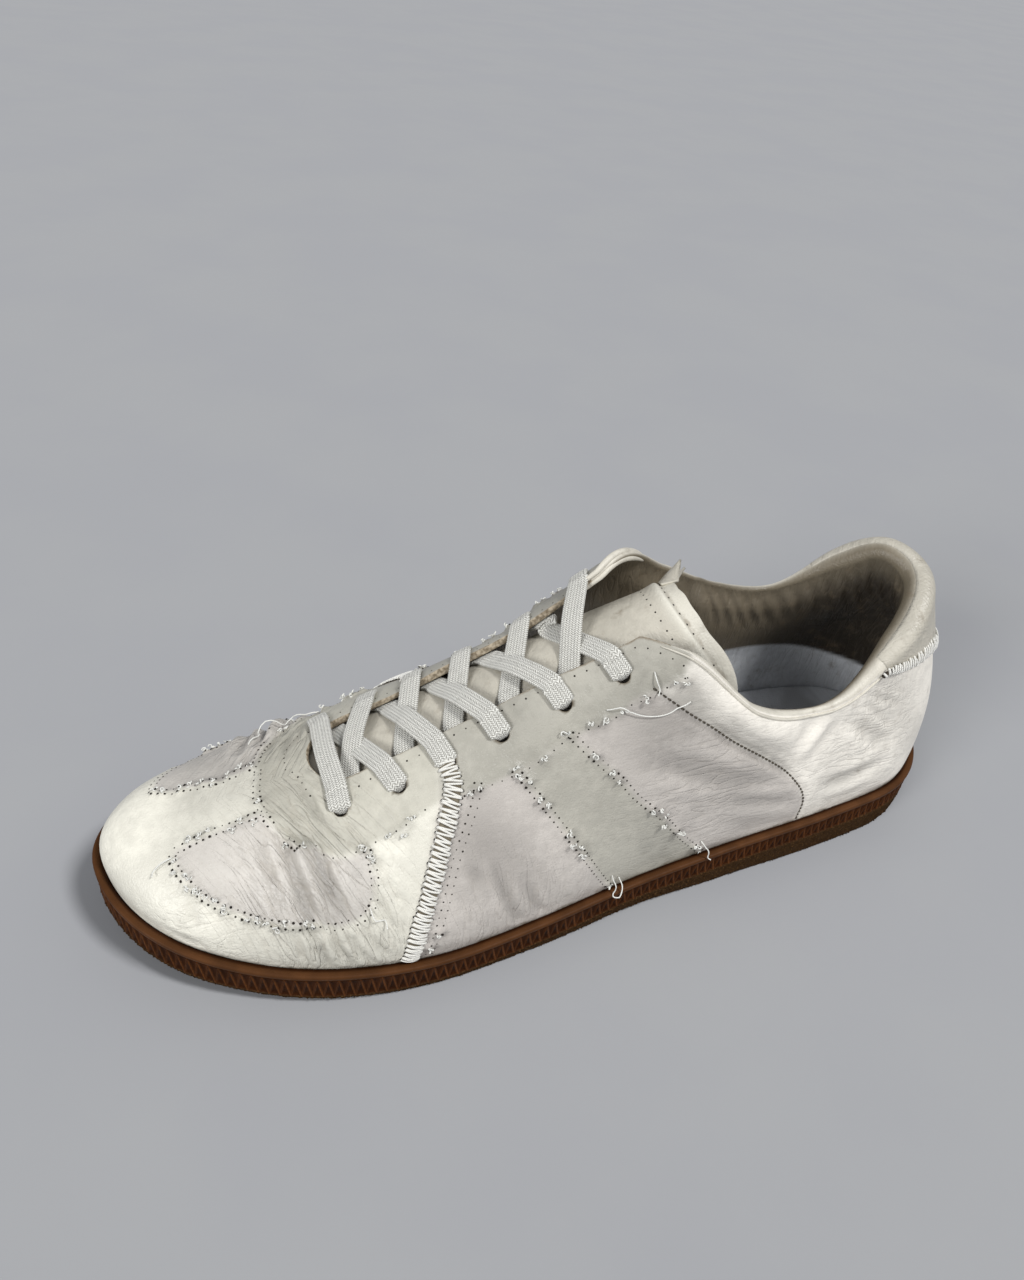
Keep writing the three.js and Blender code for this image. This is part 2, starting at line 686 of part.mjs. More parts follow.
function laceCross(index) {
  const below = index - 1;
  const nearOnTop = NEAR_ON_TOP.includes(index);
  const nearRise = nearOnTop ? LACE_RISE.above : LACE_RISE.below;
  const farRise = nearOnTop ? LACE_RISE.below : LACE_RISE.above;
  const first = crossingStrand(eyelets.lateral[below], eyelets.medial[index], nearRise);
  const second = crossingStrand(eyelets.medial[below], eyelets.lateral[index], farRise);
  return fromManifold(toManifold(first).add(toManifold(second)));
}

function laceBar() {
  const near = eyeletKnots(eyelets.lateral[0]).reverse();
  const far = eyeletKnots(eyelets.medial[0]);
  const middle = near[near.length - 1].point.clone().lerp(far[0].point, 0.5);
  middle.addScaledVector(THROAT_UP, LACE_RISE.bar);
  return laceStrip([...near, { point: middle, up: THROAT_UP }, ...far]);
}

// Raised seam between vamp and quarter: a low strip laid over the upper.
function seamStrip(route) {
  const loops = [];
  const scale = (route.length - 1) / SEAM.steps;
  for (let i = 0; i <= SEAM.steps; i += 1) {
    const v = i * scale;
    const s = smoothLine(route.map((knot, k) => [k, knot[0]]), v);
    const t = smoothLine(route.map((knot, k) => [k, knot[1]]), v) * wallEnd(s);
    const breadth = lastPoint(s + 0.01, t).distanceTo(lastPoint(s - 0.01, t)) / 0.02;
    const reach = SEAM.half / breadth;
    const at = (offset, height) => offsetPoint(s + offset * reach, t, GAP + height);
    loops.push([at(-1, 0), at(0, 0), at(1, 0), at(0.6, SEAM.height), at(-0.6, SEAM.height)]);
  }
  return loopSolid(loops);
}

// Crescent patch over the top of the heel
function heelTab() {
  const facets = new Facets();
  const grid = [];
  for (let i = 0; i <= HEEL_TAB.along; i += 1) {
    const f = i / HEEL_TAB.along;
    const s = HEEL_TAB.from + (HEEL_TAB.to - HEEL_TAB.from) * f;
    const low = HEEL_TAB.corner - (HEEL_TAB.corner - HEEL_TAB.lowest) * Math.sin(Math.PI * f) ** 0.5;
    const column = [];
    for (let j = 0; j <= HEEL_TAB.up; j += 1) {
      const t = low + ((1 - low) * j) / HEEL_TAB.up;
      const inside = facets.add(offsetPoint(s, t, GAP));
      const outside = facets.add(offsetPoint(s, t, GAP + HEEL_TAB.height));
      column.push([inside, outside]);
    }
    grid.push(column);
  }
  const last = HEEL_TAB.up;
  for (let i = 0; i < HEEL_TAB.along; i += 1) {
    for (let j = 0; j < last; j += 1) {
      facets.quad(grid[i][j][1], grid[i][j + 1][1], grid[i + 1][j + 1][1], grid[i + 1][j][1]);
      facets.quad(grid[i][j][0], grid[i + 1][j][0], grid[i + 1][j + 1][0], grid[i][j + 1][0]);
    }
    facets.quad(grid[i][0][1], grid[i + 1][0][1], grid[i + 1][0][0], grid[i][0][0]);
    facets.quad(grid[i][last][0], grid[i + 1][last][0], grid[i + 1][last][1], grid[i][last][1]);
  }
  for (let j = 0; j < last; j += 1) {
    const start = grid[0];
    const end = grid[HEEL_TAB.along];
    facets.quad(start[j][0], start[j + 1][0], start[j + 1][1], start[j][1]);
    facets.quad(end[j][1], end[j + 1][1], end[j + 1][0], end[j][0]);
  }
  return facets.geometry();
}

// Assembly, with its origin under the middle of its own box
const shoe = new THREE.Group();

function addPiece(name, geometry, colour, roughness) {
  const material = new THREE.MeshStandardMaterial({ color: colour, roughness, metalness: 0 });
  const mesh = new THREE.Mesh(geometry, material);
  mesh.name = name;
  shoe.add(mesh);
}

addPiece('sole', soleSolid(), COLOURS.sole, 0.75);
addPiece('upper', punchedUpper(), COLOURS.upper, 0.6);
addPiece('tongue', tongueSolid(), COLOURS.tongue, 0.65);
addPiece('insole', insoleSolid(), COLOURS.insole, 0.8);
addPiece('vamp_seam_lateral', seamStrip(SEAM_OUTER), COLOURS.seam, 0.8);
addPiece('vamp_seam_medial', seamStrip(SEAM_INNER), COLOURS.seam, 0.8);
addPiece('heel_tab', heelTab(), COLOURS.tab, 0.6);
addPiece('lace_bar_1', laceBar(), COLOURS.lace, 0.9);
for (let index = 1; index < EYELET_X.length; index += 1) {
  addPiece(`lace_cross_${index + 1}`, laceCross(index), COLOURS.lace, 0.9);
}

const box = new THREE.Box3().setFromObject(shoe);
shoe.position.set(-(box.min.x + box.max.x) / 2, -(box.min.y + box.max.y) / 2, -box.min.z);

export default shoe;
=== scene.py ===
"""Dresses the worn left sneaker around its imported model.

Lengths are millimetres in the frame of the shoe's last: heel at x = 0, +X to the toe, +Y to the outer side
of the foot, +Z up. A place on the upper is (station, share): the station counts round the foot from the heel
along the outer side, and the share runs up the wall from the sole (0) to the collar or throat edge (1).
"""

from __future__ import annotations

import logging
import math
from dataclasses import dataclass
from enum import Enum
from typing import Callable, Iterable, Sequence

import bpy
import numpy as np
from mathutils import Matrix, Vector

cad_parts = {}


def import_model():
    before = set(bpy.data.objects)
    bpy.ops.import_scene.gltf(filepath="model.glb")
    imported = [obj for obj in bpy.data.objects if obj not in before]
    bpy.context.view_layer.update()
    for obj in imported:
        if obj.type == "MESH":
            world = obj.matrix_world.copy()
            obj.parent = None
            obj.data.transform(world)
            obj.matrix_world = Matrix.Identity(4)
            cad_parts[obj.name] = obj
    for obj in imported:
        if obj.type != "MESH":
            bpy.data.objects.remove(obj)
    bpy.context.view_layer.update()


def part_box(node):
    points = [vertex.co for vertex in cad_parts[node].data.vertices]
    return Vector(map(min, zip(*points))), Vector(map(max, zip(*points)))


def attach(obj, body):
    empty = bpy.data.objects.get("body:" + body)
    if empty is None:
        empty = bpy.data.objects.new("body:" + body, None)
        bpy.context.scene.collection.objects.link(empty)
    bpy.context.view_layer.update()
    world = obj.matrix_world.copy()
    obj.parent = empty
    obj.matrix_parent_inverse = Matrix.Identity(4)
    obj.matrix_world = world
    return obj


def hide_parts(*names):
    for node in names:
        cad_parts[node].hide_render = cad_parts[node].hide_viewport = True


log = logging.getLogger("sneaker")

Array = np.ndarray
Mesh = bpy.types.Mesh
Material = bpy.types.Material
Piece = bpy.types.Object
Node = bpy.types.Node
Socket = bpy.types.NodeSocket
Tree = bpy.types.NodeTree
Feed = Socket | float | Sequence[float]
Colour = tuple[float, float, float, float]
Place = tuple[float, float]
Route = tuple[Place, ...]
Knot = tuple[Array, Array]

MM = 0.001
SEED = 11
BODY = "root"


@dataclass(frozen=True)
class Station:
    """One section of the last.

    Attributes:
        edge: Rim of the sole (x, y).
        top: Collar, throat or ridge line (x, y, z).
        side: Length and outward lean in degrees of the wall where it leaves the sole.
        crown: The same where the wall meets the top line.
    """

    edge: tuple[float, float]
    top: tuple[float, float, float]
    side: tuple[float, float]
    crown: tuple[float, float]


STATIONS = (
    Station((0, 0), (20, 0, 95), (26, 10), (30, 22)),
    Station((4.5, 16.5), (27, 14, 90), (26, 10), (28, 20)),
    Station((22, 30.5), (44, 24.5, 77), (24, 8), (24, 16)),
    Station((55, 36.5), (68, 29.3, 67), (20, 6), (20, 14)),
    Station((95, 40), (97, 29.5, 73), (20, 6), (20, 20)),
    Station((132, 44), (123, 20, 94), (24, 6), (26, 38)),
    Station((168, 49.5), (152, 1, 90), (24, 8), (26, 80)),
    Station((202, 53), (192, 0, 69.5), (20, 12), (27, 90)),
    Station((232, 50.5), (228, -1, 53.5), (16, 16), (27, 90)),
    Station((257, 43), (245, -2.2, 48.5), (15, 18), (25, 90)),
    Station((277.5, 31.5), (255, -3, 46.2), (14, 18), (22, 90)),
    Station((291, 15.5), (261, -3.4, 44.8), (13, 18), (19, 90)),
    Station((296.5, -3.5), (263, -3.6, 44.2), (13, 18), (18, 90)),
    Station((290.5, -19.5), (261, -3.4, 44.8), (12, 12), (16, 90)),
    Station((275.5, -32.5), (255, -3, 46.2), (12, 9), (18, 90)),
    Station((253.5, -42), (245, -2.2, 48.5), (13, 8), (20, 90)),
    Station((228, -47.5), (228, -1, 53.5), (15, 8), (23, 90)),
    Station((201, -48), (192, 0, 69.5), (18, 8), (26, 90)),
    Station((172, -44), (160, 0, 86.5), (22, 6), (27, 85)),
    Station((143, -37.5), (130, -17, 103), (24, 4), (26, 50)),
    Station((111, -33), (106, -27, 88.5), (24, 2), (24, 22)),
    Station((80, -32.5), (82, -30, 75.5), (22, 4), (22, 14)),
    Station((52, -34), (58, -29.5, 71.5), (20, 6), (20, 14)),
    Station((22, -29), (38, -25, 86), (24, 8), (26, 16)),
    Station((4.5, -16), (26, -15, 96.5), (26, 10), (30, 20)),
)
ROUND = len(STATIONS)
TOE_STATION = 12.0
RIDGE_SLOPE = -0.33
RIDGE_X = (150.0, 210.0)
RIDGE_STATIONS = (5.0, 19.5)
CENTRE_LINE = ((0, 0), (150, 0), (228, -1), (264, -3.6), (300, -6))
LIP_LINE = ((-5, 19.5), (55, 18.5), (120, 16.5), (200, 12.5), (245, 14.5), (300, 24))
FEATHER_INSET = 3.2
CUP_DEPTH = 2.5
GAP = 0.3
WALL = 2.0
THROAT_HALF = 12.5
THROAT_FRONT = 231.0
THROAT_BACK = 90.0
EYELET_X = (224.5, 207.5, 193.0, 177.0, 158.0, 140.5)
EYELET_FROM_EDGE = 9.5
EYELET_RADIUS = 2.2


class Side(Enum):
    """The two sides of the foot."""

    LATERAL = 1
    MEDIAL = -1


EYELET_STATIONS = {Side.LATERAL: (5.2, 8.3), Side.MEDIAL: (15.7, 19.4)}


def srgb(red: float, green: float, blue: float) -> Colour:
    """Gives the linear colour of an sRGB colour in 0 to 255."""
    linear = [((v / 255 + 0.055) / 1.055) ** 2.4 for v in (red, green, blue)]
    return (linear[0], linear[1], linear[2], 1.0)


def smoothstep(x: Array, low: float, high: float) -> Array:
    """Gives the smooth step from 0 at low to 1 at high."""
    f = np.clip((x - low) / (high - low), 0, 1)
    return f * f * (3 - 2 * f)


def unit(vectors: Array) -> Array:
    """Gives the vectors at length 1."""
    return vectors / np.maximum(np.linalg.norm(vectors, axis=-1, keepdims=True), 1e-9)


def smooth_line(points: Sequence[tuple[float, float]], x: Array) -> Array:
    """Monotone cubic through points, flat beyond both ends.

    Args:
        points: Knots (x, y) with rising x.
        x: Where the line is wanted.

    Returns:
        The heights of the line.
    """
    knots = np.array(points, float)
    xs, ys = knots[:, 0], knots[:, 1]
    chord = np.diff(ys) / np.diff(xs)
    before, after = chord[:-1], chord[1:]
    total = np.where(before + after == 0, 1, before + after)
    inner = np.where(before * after <= 0, 0, 2 * before * after / total)
    slope = np.concatenate([chord[:1], inner, chord[-1:]])
    x = np.clip(x, xs[0], xs[-1])
    i = np.clip(np.searchsorted(xs, x, side="right") - 1, 0, len(xs) - 2)
    h = xs[i + 1] - xs[i]
    u = (x - xs[i]) / h
    rise = slope[i] * h * u * (1 - u) ** 2 + slope[i + 1] * h * u * u * (u - 1)
    return ys[i] * (1 + 2 * u) * (1 - u) ** 2 + ys[i + 1] * u * u * (3 - 2 * u) + rise


def bezier(curve: Array, t: Array) -> Array:
    """Points on cubic curves.

    Args:
        curve: Control points (..., 4, 3).
        t: Parameters (...).

    Returns:
        The points (..., 3).
    """
    t = t[..., None]
    first = (1 - t) ** 3 * curve[..., 0, :] + 3 * t * (1 - t) ** 2 * curve[..., 1, :]
    return first + 3 * t * t * (1 - t) * curve[..., 2, :] + t**3 * curve[..., 3, :]


def spline(knots: Array, steps: int) -> Array:
    """Runs a smooth curve through knots.

    Args:
        knots: Points (k, d).
        steps: Points made on each stretch between two knots.

    Returns:
        The points of the curve, both ends included.
    """
    knots = np.asarray(knots, float)
    ends = np.concatenate([[2 * knots[0] - knots[1]], knots, [2 * knots[-1] - knots[-2]]])
    f = (np.arange(steps) / steps)[:, None]
    runs = []
    for p0, p1, p2, p3 in zip(ends[:-3], ends[1:-2], ends[2:-1], ends[3:]):
        bend = (2 * p0 - 5 * p1 + 4 * p2 - p3) * f**2 + (3 * p1 - p0 - 3 * p2 + p3) * f**3
        runs.append(0.5 * (2 * p1 + (p2 - p0) * f + bend))
    return np.concatenate([*runs, knots[-1:]])


def run_length(points: Array) -> Array:
    """Gives the length of a path up to each of its points."""
    return np.concatenate([[0], np.cumsum(np.linalg.norm(np.diff(points, axis=0), axis=1))])


def inside(polygon: Route, s: Array, u: Array) -> Array:
    """Tells which places lie in a closed outline.

    Args:
        polygon: Corners of the outline as places.
        s: Stations.
        u: Shares.

    Returns:
        True for each place that lies inside.
    """
    found = np.zeros(np.broadcast(s, u).shape, bool)
    for (s0, u0), (s1, u1) in zip(polygon, polygon[1:] + polygon[:1]):
        if u0 == u1:
            continue
        crosses = (u0 > u) != (u1 > u)
        found ^= crosses & (s < (s1 - s0) * (u - u0) / (u1 - u0) + s0)
    return found


class Last:
    """The shoe's own shape: a wall curve from the sole to the top line at every station round the foot."""

    def __init__(self) -> None:
        """Keeps the stations as arrays."""
        self.edges = np.array([row.edge for row in STATIONS], float)
        self.tops = np.array([row.top for row in STATIONS], float)
        handles = [(*row.side, *row.crown) for row in STATIONS]
        self.handles = np.array(handles, float)
        self.handles[:, (1, 3)] = np.radians(self.handles[:, (1, 3)])

    @staticmethod
    def between(rows: Array, s: Array) -> Array:
        """Smooth value between the stations, all the way round.

        Args:
            rows: One row of values for each station.
            s: Stations wanted.

        Returns:
            The values at those stations.
        """
        s = np.asarray(s, float) % ROUND
        i = np.floor(s).astype(int)
        f = (s - i)[:, None]
        p0, p1, p2, p3 = (rows[(i + k) % ROUND] for k in (-1, 0, 1, 2))
        bend = (2 * p0 - 5 * p1 + 4 * p2 - p3) * f**2 + (3 * p1 - p0 - 3 * p2 + p3) * f**3
        return 0.5 * (2 * p1 + (p2 - p0) * f + bend)

    def sole_edge(self, s: Array, inset: float = 0.0) -> tuple[Array, Array]:
        """The sole's rim, moved inward.

        Args:
            s: Stations.
            inset: How far inward.

        Returns:
            The points (n, 2) and the outward directions (n, 2).
        """
        step = 1e-3
        ahead = self.between(self.edges, s + step)
        behind = self.between(self.edges, s - step)
        out = unit(np.stack([behind[:, 1] - ahead[:, 1], ahead[:, 0] - behind[:, 0]], 1))
        return self.between(self.edges, s) - inset * out, out

    @staticmethod
    def lip_height(x: Array) -> Array:
        """Gives the height of the sole's upper lip over the length."""
        return smooth_line(LIP_LINE, x)

    @staticmethod
    def centre_line(x: Array) -> Array:
        """Gives the middle of the foot over the length."""
        line = np.array(CENTRE_LINE, float)
        return np.interp(x, line[:, 0], line[:, 1])

    def curve(self, s: Array) -> Array:
        """The four control points of the wall at each station.

        Args:
            s: Stations.

        Returns:
            Control points (n, 4, 3).
        """
        rim, out = self.sole_edge(s, FEATHER_INSET)
        foot = np.column_stack([rim, self.lip_height(rim[:, 0])])
        top = self.between(self.tops, s)
        side_length, side_lean, crown_length, crown_lean = self.between(self.handles, s).T
        reach = unit(foot[:, :2] - top[:, :2])
        wrapped = s % ROUND
        on_ridge = (wrapped > RIDGE_STATIONS[0]) & (wrapped < RIDGE_STATIONS[1])
        ridge = on_ridge * np.clip((top[:, 0] - RIDGE_X[0]) / (RIDGE_X[1] - RIDGE_X[0]), 0, 1)
        rise = np.column_stack([out * np.sin(side_lean)[:, None], np.cos(side_lean)])
        down = ridge * RIDGE_SLOPE * reach[:, 0] - np.cos(crown_lean)
        fall = np.column_stack([reach * np.sin(crown_lean)[:, None], down])
        belly = foot + rise * side_length[:, None]
        shoulder = top + fall * crown_length[:, None]
        return np.stack([foot, belly, shoulder, top], 1)

    def in_throat(self, points: Array) -> Array:
        """Tells which points lie over the U cut of the throat."""
        x, y = points[..., 0], points[..., 1]
        to_front = np.clip(THROAT_FRONT - x, 0, THROAT_HALF)
        half = np.sqrt(THROAT_HALF**2 - (THROAT_HALF - to_front) ** 2)
        within = (x > THROAT_BACK) & (x < THROAT_FRONT)
        return within & (np.abs(y - self.centre_line(x)) < half)

    def wall_end(self, s: Array) -> Array:
        """How far up its curve the wall goes before the throat cuts it off.

        Args:
            s: Stations.

        Returns:
            The end of the wall at each station, 1 where nothing cuts it.
        """
        curve = self.curve(s)
        coarse = np.linspace(0, 1, 121)
        cut = self.in_throat(bezier(curve[:, None], np.broadcast_to(coarse, (len(s), 121))))
        first = cut.argmax(1)
        low = coarse[np.maximum(first - 1, 0)]
        high = coarse[first]
        for _ in range(22):
            middle = (low + high) / 2
            within = self.in_throat(bezier(curve, middle))
            high = np.where(within, middle, high)
            low = np.where(within, low, middle)
        return np.where(cut.any(1), low, 1.0)

    def grid(self, s: Array, u: Array) -> Array:
        """Points of the wall at every station and share.

        Args:
            s: Stations.
            u: Shares.

        Returns:
            Points (stations, shares, 3).
        """
        curve = self.curve(s)
        return bezier(curve[:, None], self.wall_end(s)[:, None] * u[None, :])

    def front_station(self) -> float:
        """Gives the station where the throat's front meets the ridge."""
        s = np.linspace(8, 9, 4001)
        return float(s[np.searchsorted(self.between(self.tops, s)[:, 0], THROAT_FRONT)])

    def mirrored(self, s: float) -> float:
        """Gives the inner side's station that lies across from an outer one."""
        lateral = np.linspace(0, TOE_STATION, 600)
        medial = np.linspace(ROUND, TOE_STATION, 600)
        x = np.interp(s, lateral, self.sole_edge(lateral)[0][:, 0])
        return float(np.interp(x, self.sole_edge(medial)[0][:, 0], medial))

    def across(self, route: Route) -> Route:
        """Gives the inner side's route that lies across from an outer one."""
        return tuple((self.mirrored(s), u) for s, u in route)

    def eyelet(self, x: float, side: Side) -> Place:
        """Place of the lace hole at a length of the shoe.

        Args:
            x: Where the hole is along the shoe.
            side: Side of the foot.

        Returns:
            The place on the upper, a set distance below the throat edge.
        """
        s = np.linspace(*EYELET_STATIONS[side], 240)
        u = np.linspace(1, 0.6, 160)
        points = self.grid(s, u)
        shares = np.array([np.interp(EYELET_FROM_EDGE, run_length(column), u) for column in points])
        places = bezier(self.curve(s), shares * self.wall_end(s))[:, 0]
        order = np.argsort(places)
        station = float(np.interp(x, places[order], s[order]))
        return station, float(np.interp(station, s, shares))


@dataclass
class Trace:
    """A line over the upper, with its frame at every point."""

    points: Array
    normals: Array
    tangents: Array
    shares: Array

    @property
    def sides(self) -> Array:
        """Directions across the line, in the leather."""
        return unit(np.cross(self.normals, self.tangents))


@dataclass
class Skin:
    """A face of the upper as a grid of points, columns by station and rows by share."""

    stations: Array
    shares: Array
    points: Array
    normals: Array

    def at(self, s: Array, u: Array) -> tuple[Array, Array]:
        """Points and normals at places.

        Args:
            s: Stations.
            u: Shares.

        Returns:
            The points and the normals.
        """
        count = len(self.stations)
        column = np.interp(np.asarray(s) % ROUND, [*self.stations, ROUND], np.arange(count + 1))
        row = np.interp(u, self.shares, np.arange(len(self.shares)))
        i = np.floor(column).astype(int) % count
        k = (i + 1) % count
        j = np.minimum(np.floor(row).astype(int), len(self.shares) - 2)
        a = (column - np.floor(column))[:, None]
        b = (row - j)[:, None]

        def mix(field: Array) -> Array:
            """Blends the four corners of each cell."""
            low = field[i, j] * (1 - a) + field[k, j] * a
            high = field[i, j + 1] * (1 - a) + field[k, j + 1] * a
            return low * (1 - b) + high * b

        return mix(self.points), unit(mix(self.normals))

    def trace(self, route: Route, pitch: float, offset: float = 0.0) -> Trace:
        """Lays a line over the skin.

        Args:
            route: Places that the line goes through.
            pitch: Distance between its points.
            offset: Distance of the line to the left of the route.

        Returns:
            The line.
        """
        fine = spline(np.array(route, float), 24)
        points, _ = self.at(fine[:, 0], fine[:, 1])
        length = run_length(points)
        count = max(int(round(length[-1] / pitch)), 2)
        wanted = np.linspace(0, length[-1], count + 1)
        s = np.interp(wanted, length, fine[:, 0])
        u = np.interp(wanted, length, fine[:, 1])
        points, normals = self.at(s, u)
        tangents = unit(np.gradient(points, axis=0))
        line = Trace(points, normals, tangents, wanted / length[-1])
        line.points = points + offset * line.sides
        return line


def face_normals(points: Array, quads: Array) -> Array:
    """Smooth normals of a mesh of quads.

    Args:
        points: Vertices.
        quads: Vertex numbers (n, 4).

    Returns:
        One normal for each vertex.
    """
    a, b, c, d = (points[quads[:, k]] for k in range(4))
    normal = np.cross(c - a, d - b)
    total = np.zeros_like(points)
    for k in range(4):
        np.add.at(total, quads[:, k], normal)
    return unit(total)


def grid_quads(index: Array) -> Array:
    """Gives the quads between the columns and rows of a grid of vertex numbers."""
    corners = (index[:-1, :-1], index[:-1, 1:], index[1:, 1:], index[1:, :-1])
    return np.stack(corners, -1).reshape(-1, 4)


def numbered(grid: Array, start: int = 0) -> Array:
    """Gives the vertex numbers of a grid of points."""
    return start + np.arange(grid.shape[0] * grid.shape[1]).reshape(grid.shape[:2])


def rungs_between(points: Array, ring: Array, steps: int) -> Array:
    """Points that fill a ring from side to side.

    Args:
        points: All points.
        ring: Vertex numbers round the ring, an even count.
        steps: Cells from side to side.

    Returns:
        Points (rungs, steps - 1, 3) between the two halves of the ring.
    """
    half = len(ring) // 2
    f = np.linspace(0, 1, steps + 1)[None, 1:-1, None]
    return points[ring[1:half]][:, None] * (1 - f) + points[ring[:half:-1]][:, None] * f


# A direction that no thread or hole lies along, to set their sections square to.
ODD_WAY = (0.31, 0.52, 0.79)
THREAD_TURN = 0.3
DOME_SINK = 0.15
DOME_TOP = (0.55, 0.06)
DOME_FOOT = 0.3


class Bundle:
    """Points and faces of many small shapes, joined into one mesh."""

    def __init__(self) -> None:
        """Starts empty."""
        self.points: list[Array] = []
        self.faces: list[list[int]] = []
        self.slots: list[int] = []
        self.cloth: list[Array] = []
        self.count = 0

    def join(self, faces: Iterable[Sequence[int]], slot: int = 0, start: int = 0) -> None:
        """Adds faces between points that are there, counted from the point numbered start."""
        made = [[int(v) + start for v in face] for face in faces]
        self.faces.extend(made)
        self.slots.extend([slot] * len(made))

    def add(
        self, points: Array, faces: Iterable[Sequence[int]] = (), slot: int = 0, cloth: Array | None = None
    ) -> None:
        """Adds one shape.

        Args:
            points: Its vertices.
            faces: Its faces, counted from its own first vertex.
            slot: Number of its material.
            cloth: Its lengths along and across the thread or strip, where it has them.
        """
        points = points.reshape(-1, 3)
        self.join(faces, slot, self.count)
        self.points.append(points)
        self.cloth.append(np.zeros((len(points), 2)) if cloth is None else cloth.reshape(-1, 2))
        self.count += len(points)

    def sleeve(self, grid: Array, turned: bool = False, slot: int = 0, cloth: Array | None = None) -> None:
        """Adds a closed skin over rings of points, with a cap at both ends.

        Args:
            grid: Rings (rings, corners, 3).
            turned: True to turn the faces over.
            slot: Number of the material.
            cloth: Lengths along and across the strip, where it has them.
        """
        index = numbered(grid)
        faces = [*grid_quads(np.concatenate([index, index[:, :1]], 1)), index[0, ::-1], index[-1]]
        self.add(grid, [face[::-1] for face in faces] if turned else faces, slot, cloth)

    def fill(self, ring: Array, rungs: Array, down: bool) -> None:
        """Fills a ring of vertices with rungs of added points.

        Args:
            ring: Vertex numbers round the ring, counterclockwise seen from below.
            rungs: Points between its two halves.
            down: True to face down, False to face up.
        """
        half = len(ring) // 2
        inner = numbered(rungs, self.count)
        lines = np.concatenate([ring[1:half, None], inner, ring[:half:-1, None]], 1)
        faces = grid_quads(lines).tolist()
        for tip, line, turned in ((ring[0], lines[0], True), (ring[half], lines[-1], False)):
            for a, b in zip(line[:-1], line[1:]):
                faces.append([tip, a, b][:: -1 if turned else 1])
        self.add(rungs)
        self.join([face[::-1] for face in faces] if down else faces)

    def tubes(self, paths: Array, radius: Array | float, sides: int = 6, slot: int = 0) -> None:
        """Adds round threads of equal point counts.

        Args:
            paths: Centre lines (tubes, points, 3).
            radius: One radius, or one for each point.
            sides: Corners of the section.
            slot: Number of the material.
        """
        amount, steps, _ = paths.shape
        tangents = unit(np.gradient(paths, axis=1))
        guide = unit(np.cross(tangents.mean(1), ODD_WAY))[:, None]
        across = unit(np.cross(tangents, guide))
        up = np.cross(across, tangents)
        turn = np.arange(sides) * 2 * np.pi / sides
        girth = np.broadcast_to(np.asarray(radius, float), (amount, steps))[:, :, None, None]
        ring = across[:, :, None] * np.cos(turn)[:, None] + up[:, :, None] * np.sin(turn)[:, None]
        points = paths[:, :, None] + girth * ring
        index = np.arange(amount * steps * sides).reshape(amount, steps, sides)
        closed = np.concatenate([index, index[:, :, :1]], 2)
        faces = [quad for tube in closed for quad in grid_quads(tube)[:, ::-1]]
        faces.extend(index[:, 0, :])
        faces.extend(index[:, -1, ::-1])
        length = np.linalg.norm(np.diff(paths, axis=1), axis=2).cumsum(1)
        along = np.concatenate([np.zeros((amount, 1)), length], 1)
        cloth = np.stack(np.broadcast_arrays(along[:, :, None], turn * THREAD_TURN), -1)
        self.add(points, faces, slot, cloth)

    def discs(self, centres: Array, normals: Array, radius: Array, sides: int = 8, slot: int = 0) -> None:
        """Adds low domes that lie on a surface.

        Args:
            centres: Their middles.
            normals: Directions that they face.
            radius: One radius for each.
            sides: Corners of the rim.
            slot: Number of the material.
        """
        across = unit(np.cross(normals, ODD_WAY))
        up = np.cross(normals, across)
        turn = np.arange(sides) * 2 * np.pi / sides
        ring = across[:, None] * np.cos(turn)[:, None] + up[:, None] * np.sin(turn)[:, None]
        rim = centres[:, None] + radius[:, None, None] * ring - DOME_SINK * normals[:, None]
        top = centres[:, None] + DOME_TOP[0] * radius[:, None, None] * ring + DOME_TOP[1] * normals[:, None]
        foot = centres[:, None] - DOME_FOOT * normals[:, None]
        points = np.concatenate([rim, top, foot], 1)
        size = 2 * sides + 1
        faces = []
        for k in range(len(centres)):
            first = k * size
            for i in range(sides):
                n = (i + 1) % sides
                faces.append([first + i, first + n, first + sides + n, first + sides + i])
                faces.append([first + n, first + i, first + 2 * sides])
            faces.append([first + sides + i for i in range(sides)])
        self.add(points, faces, slot)


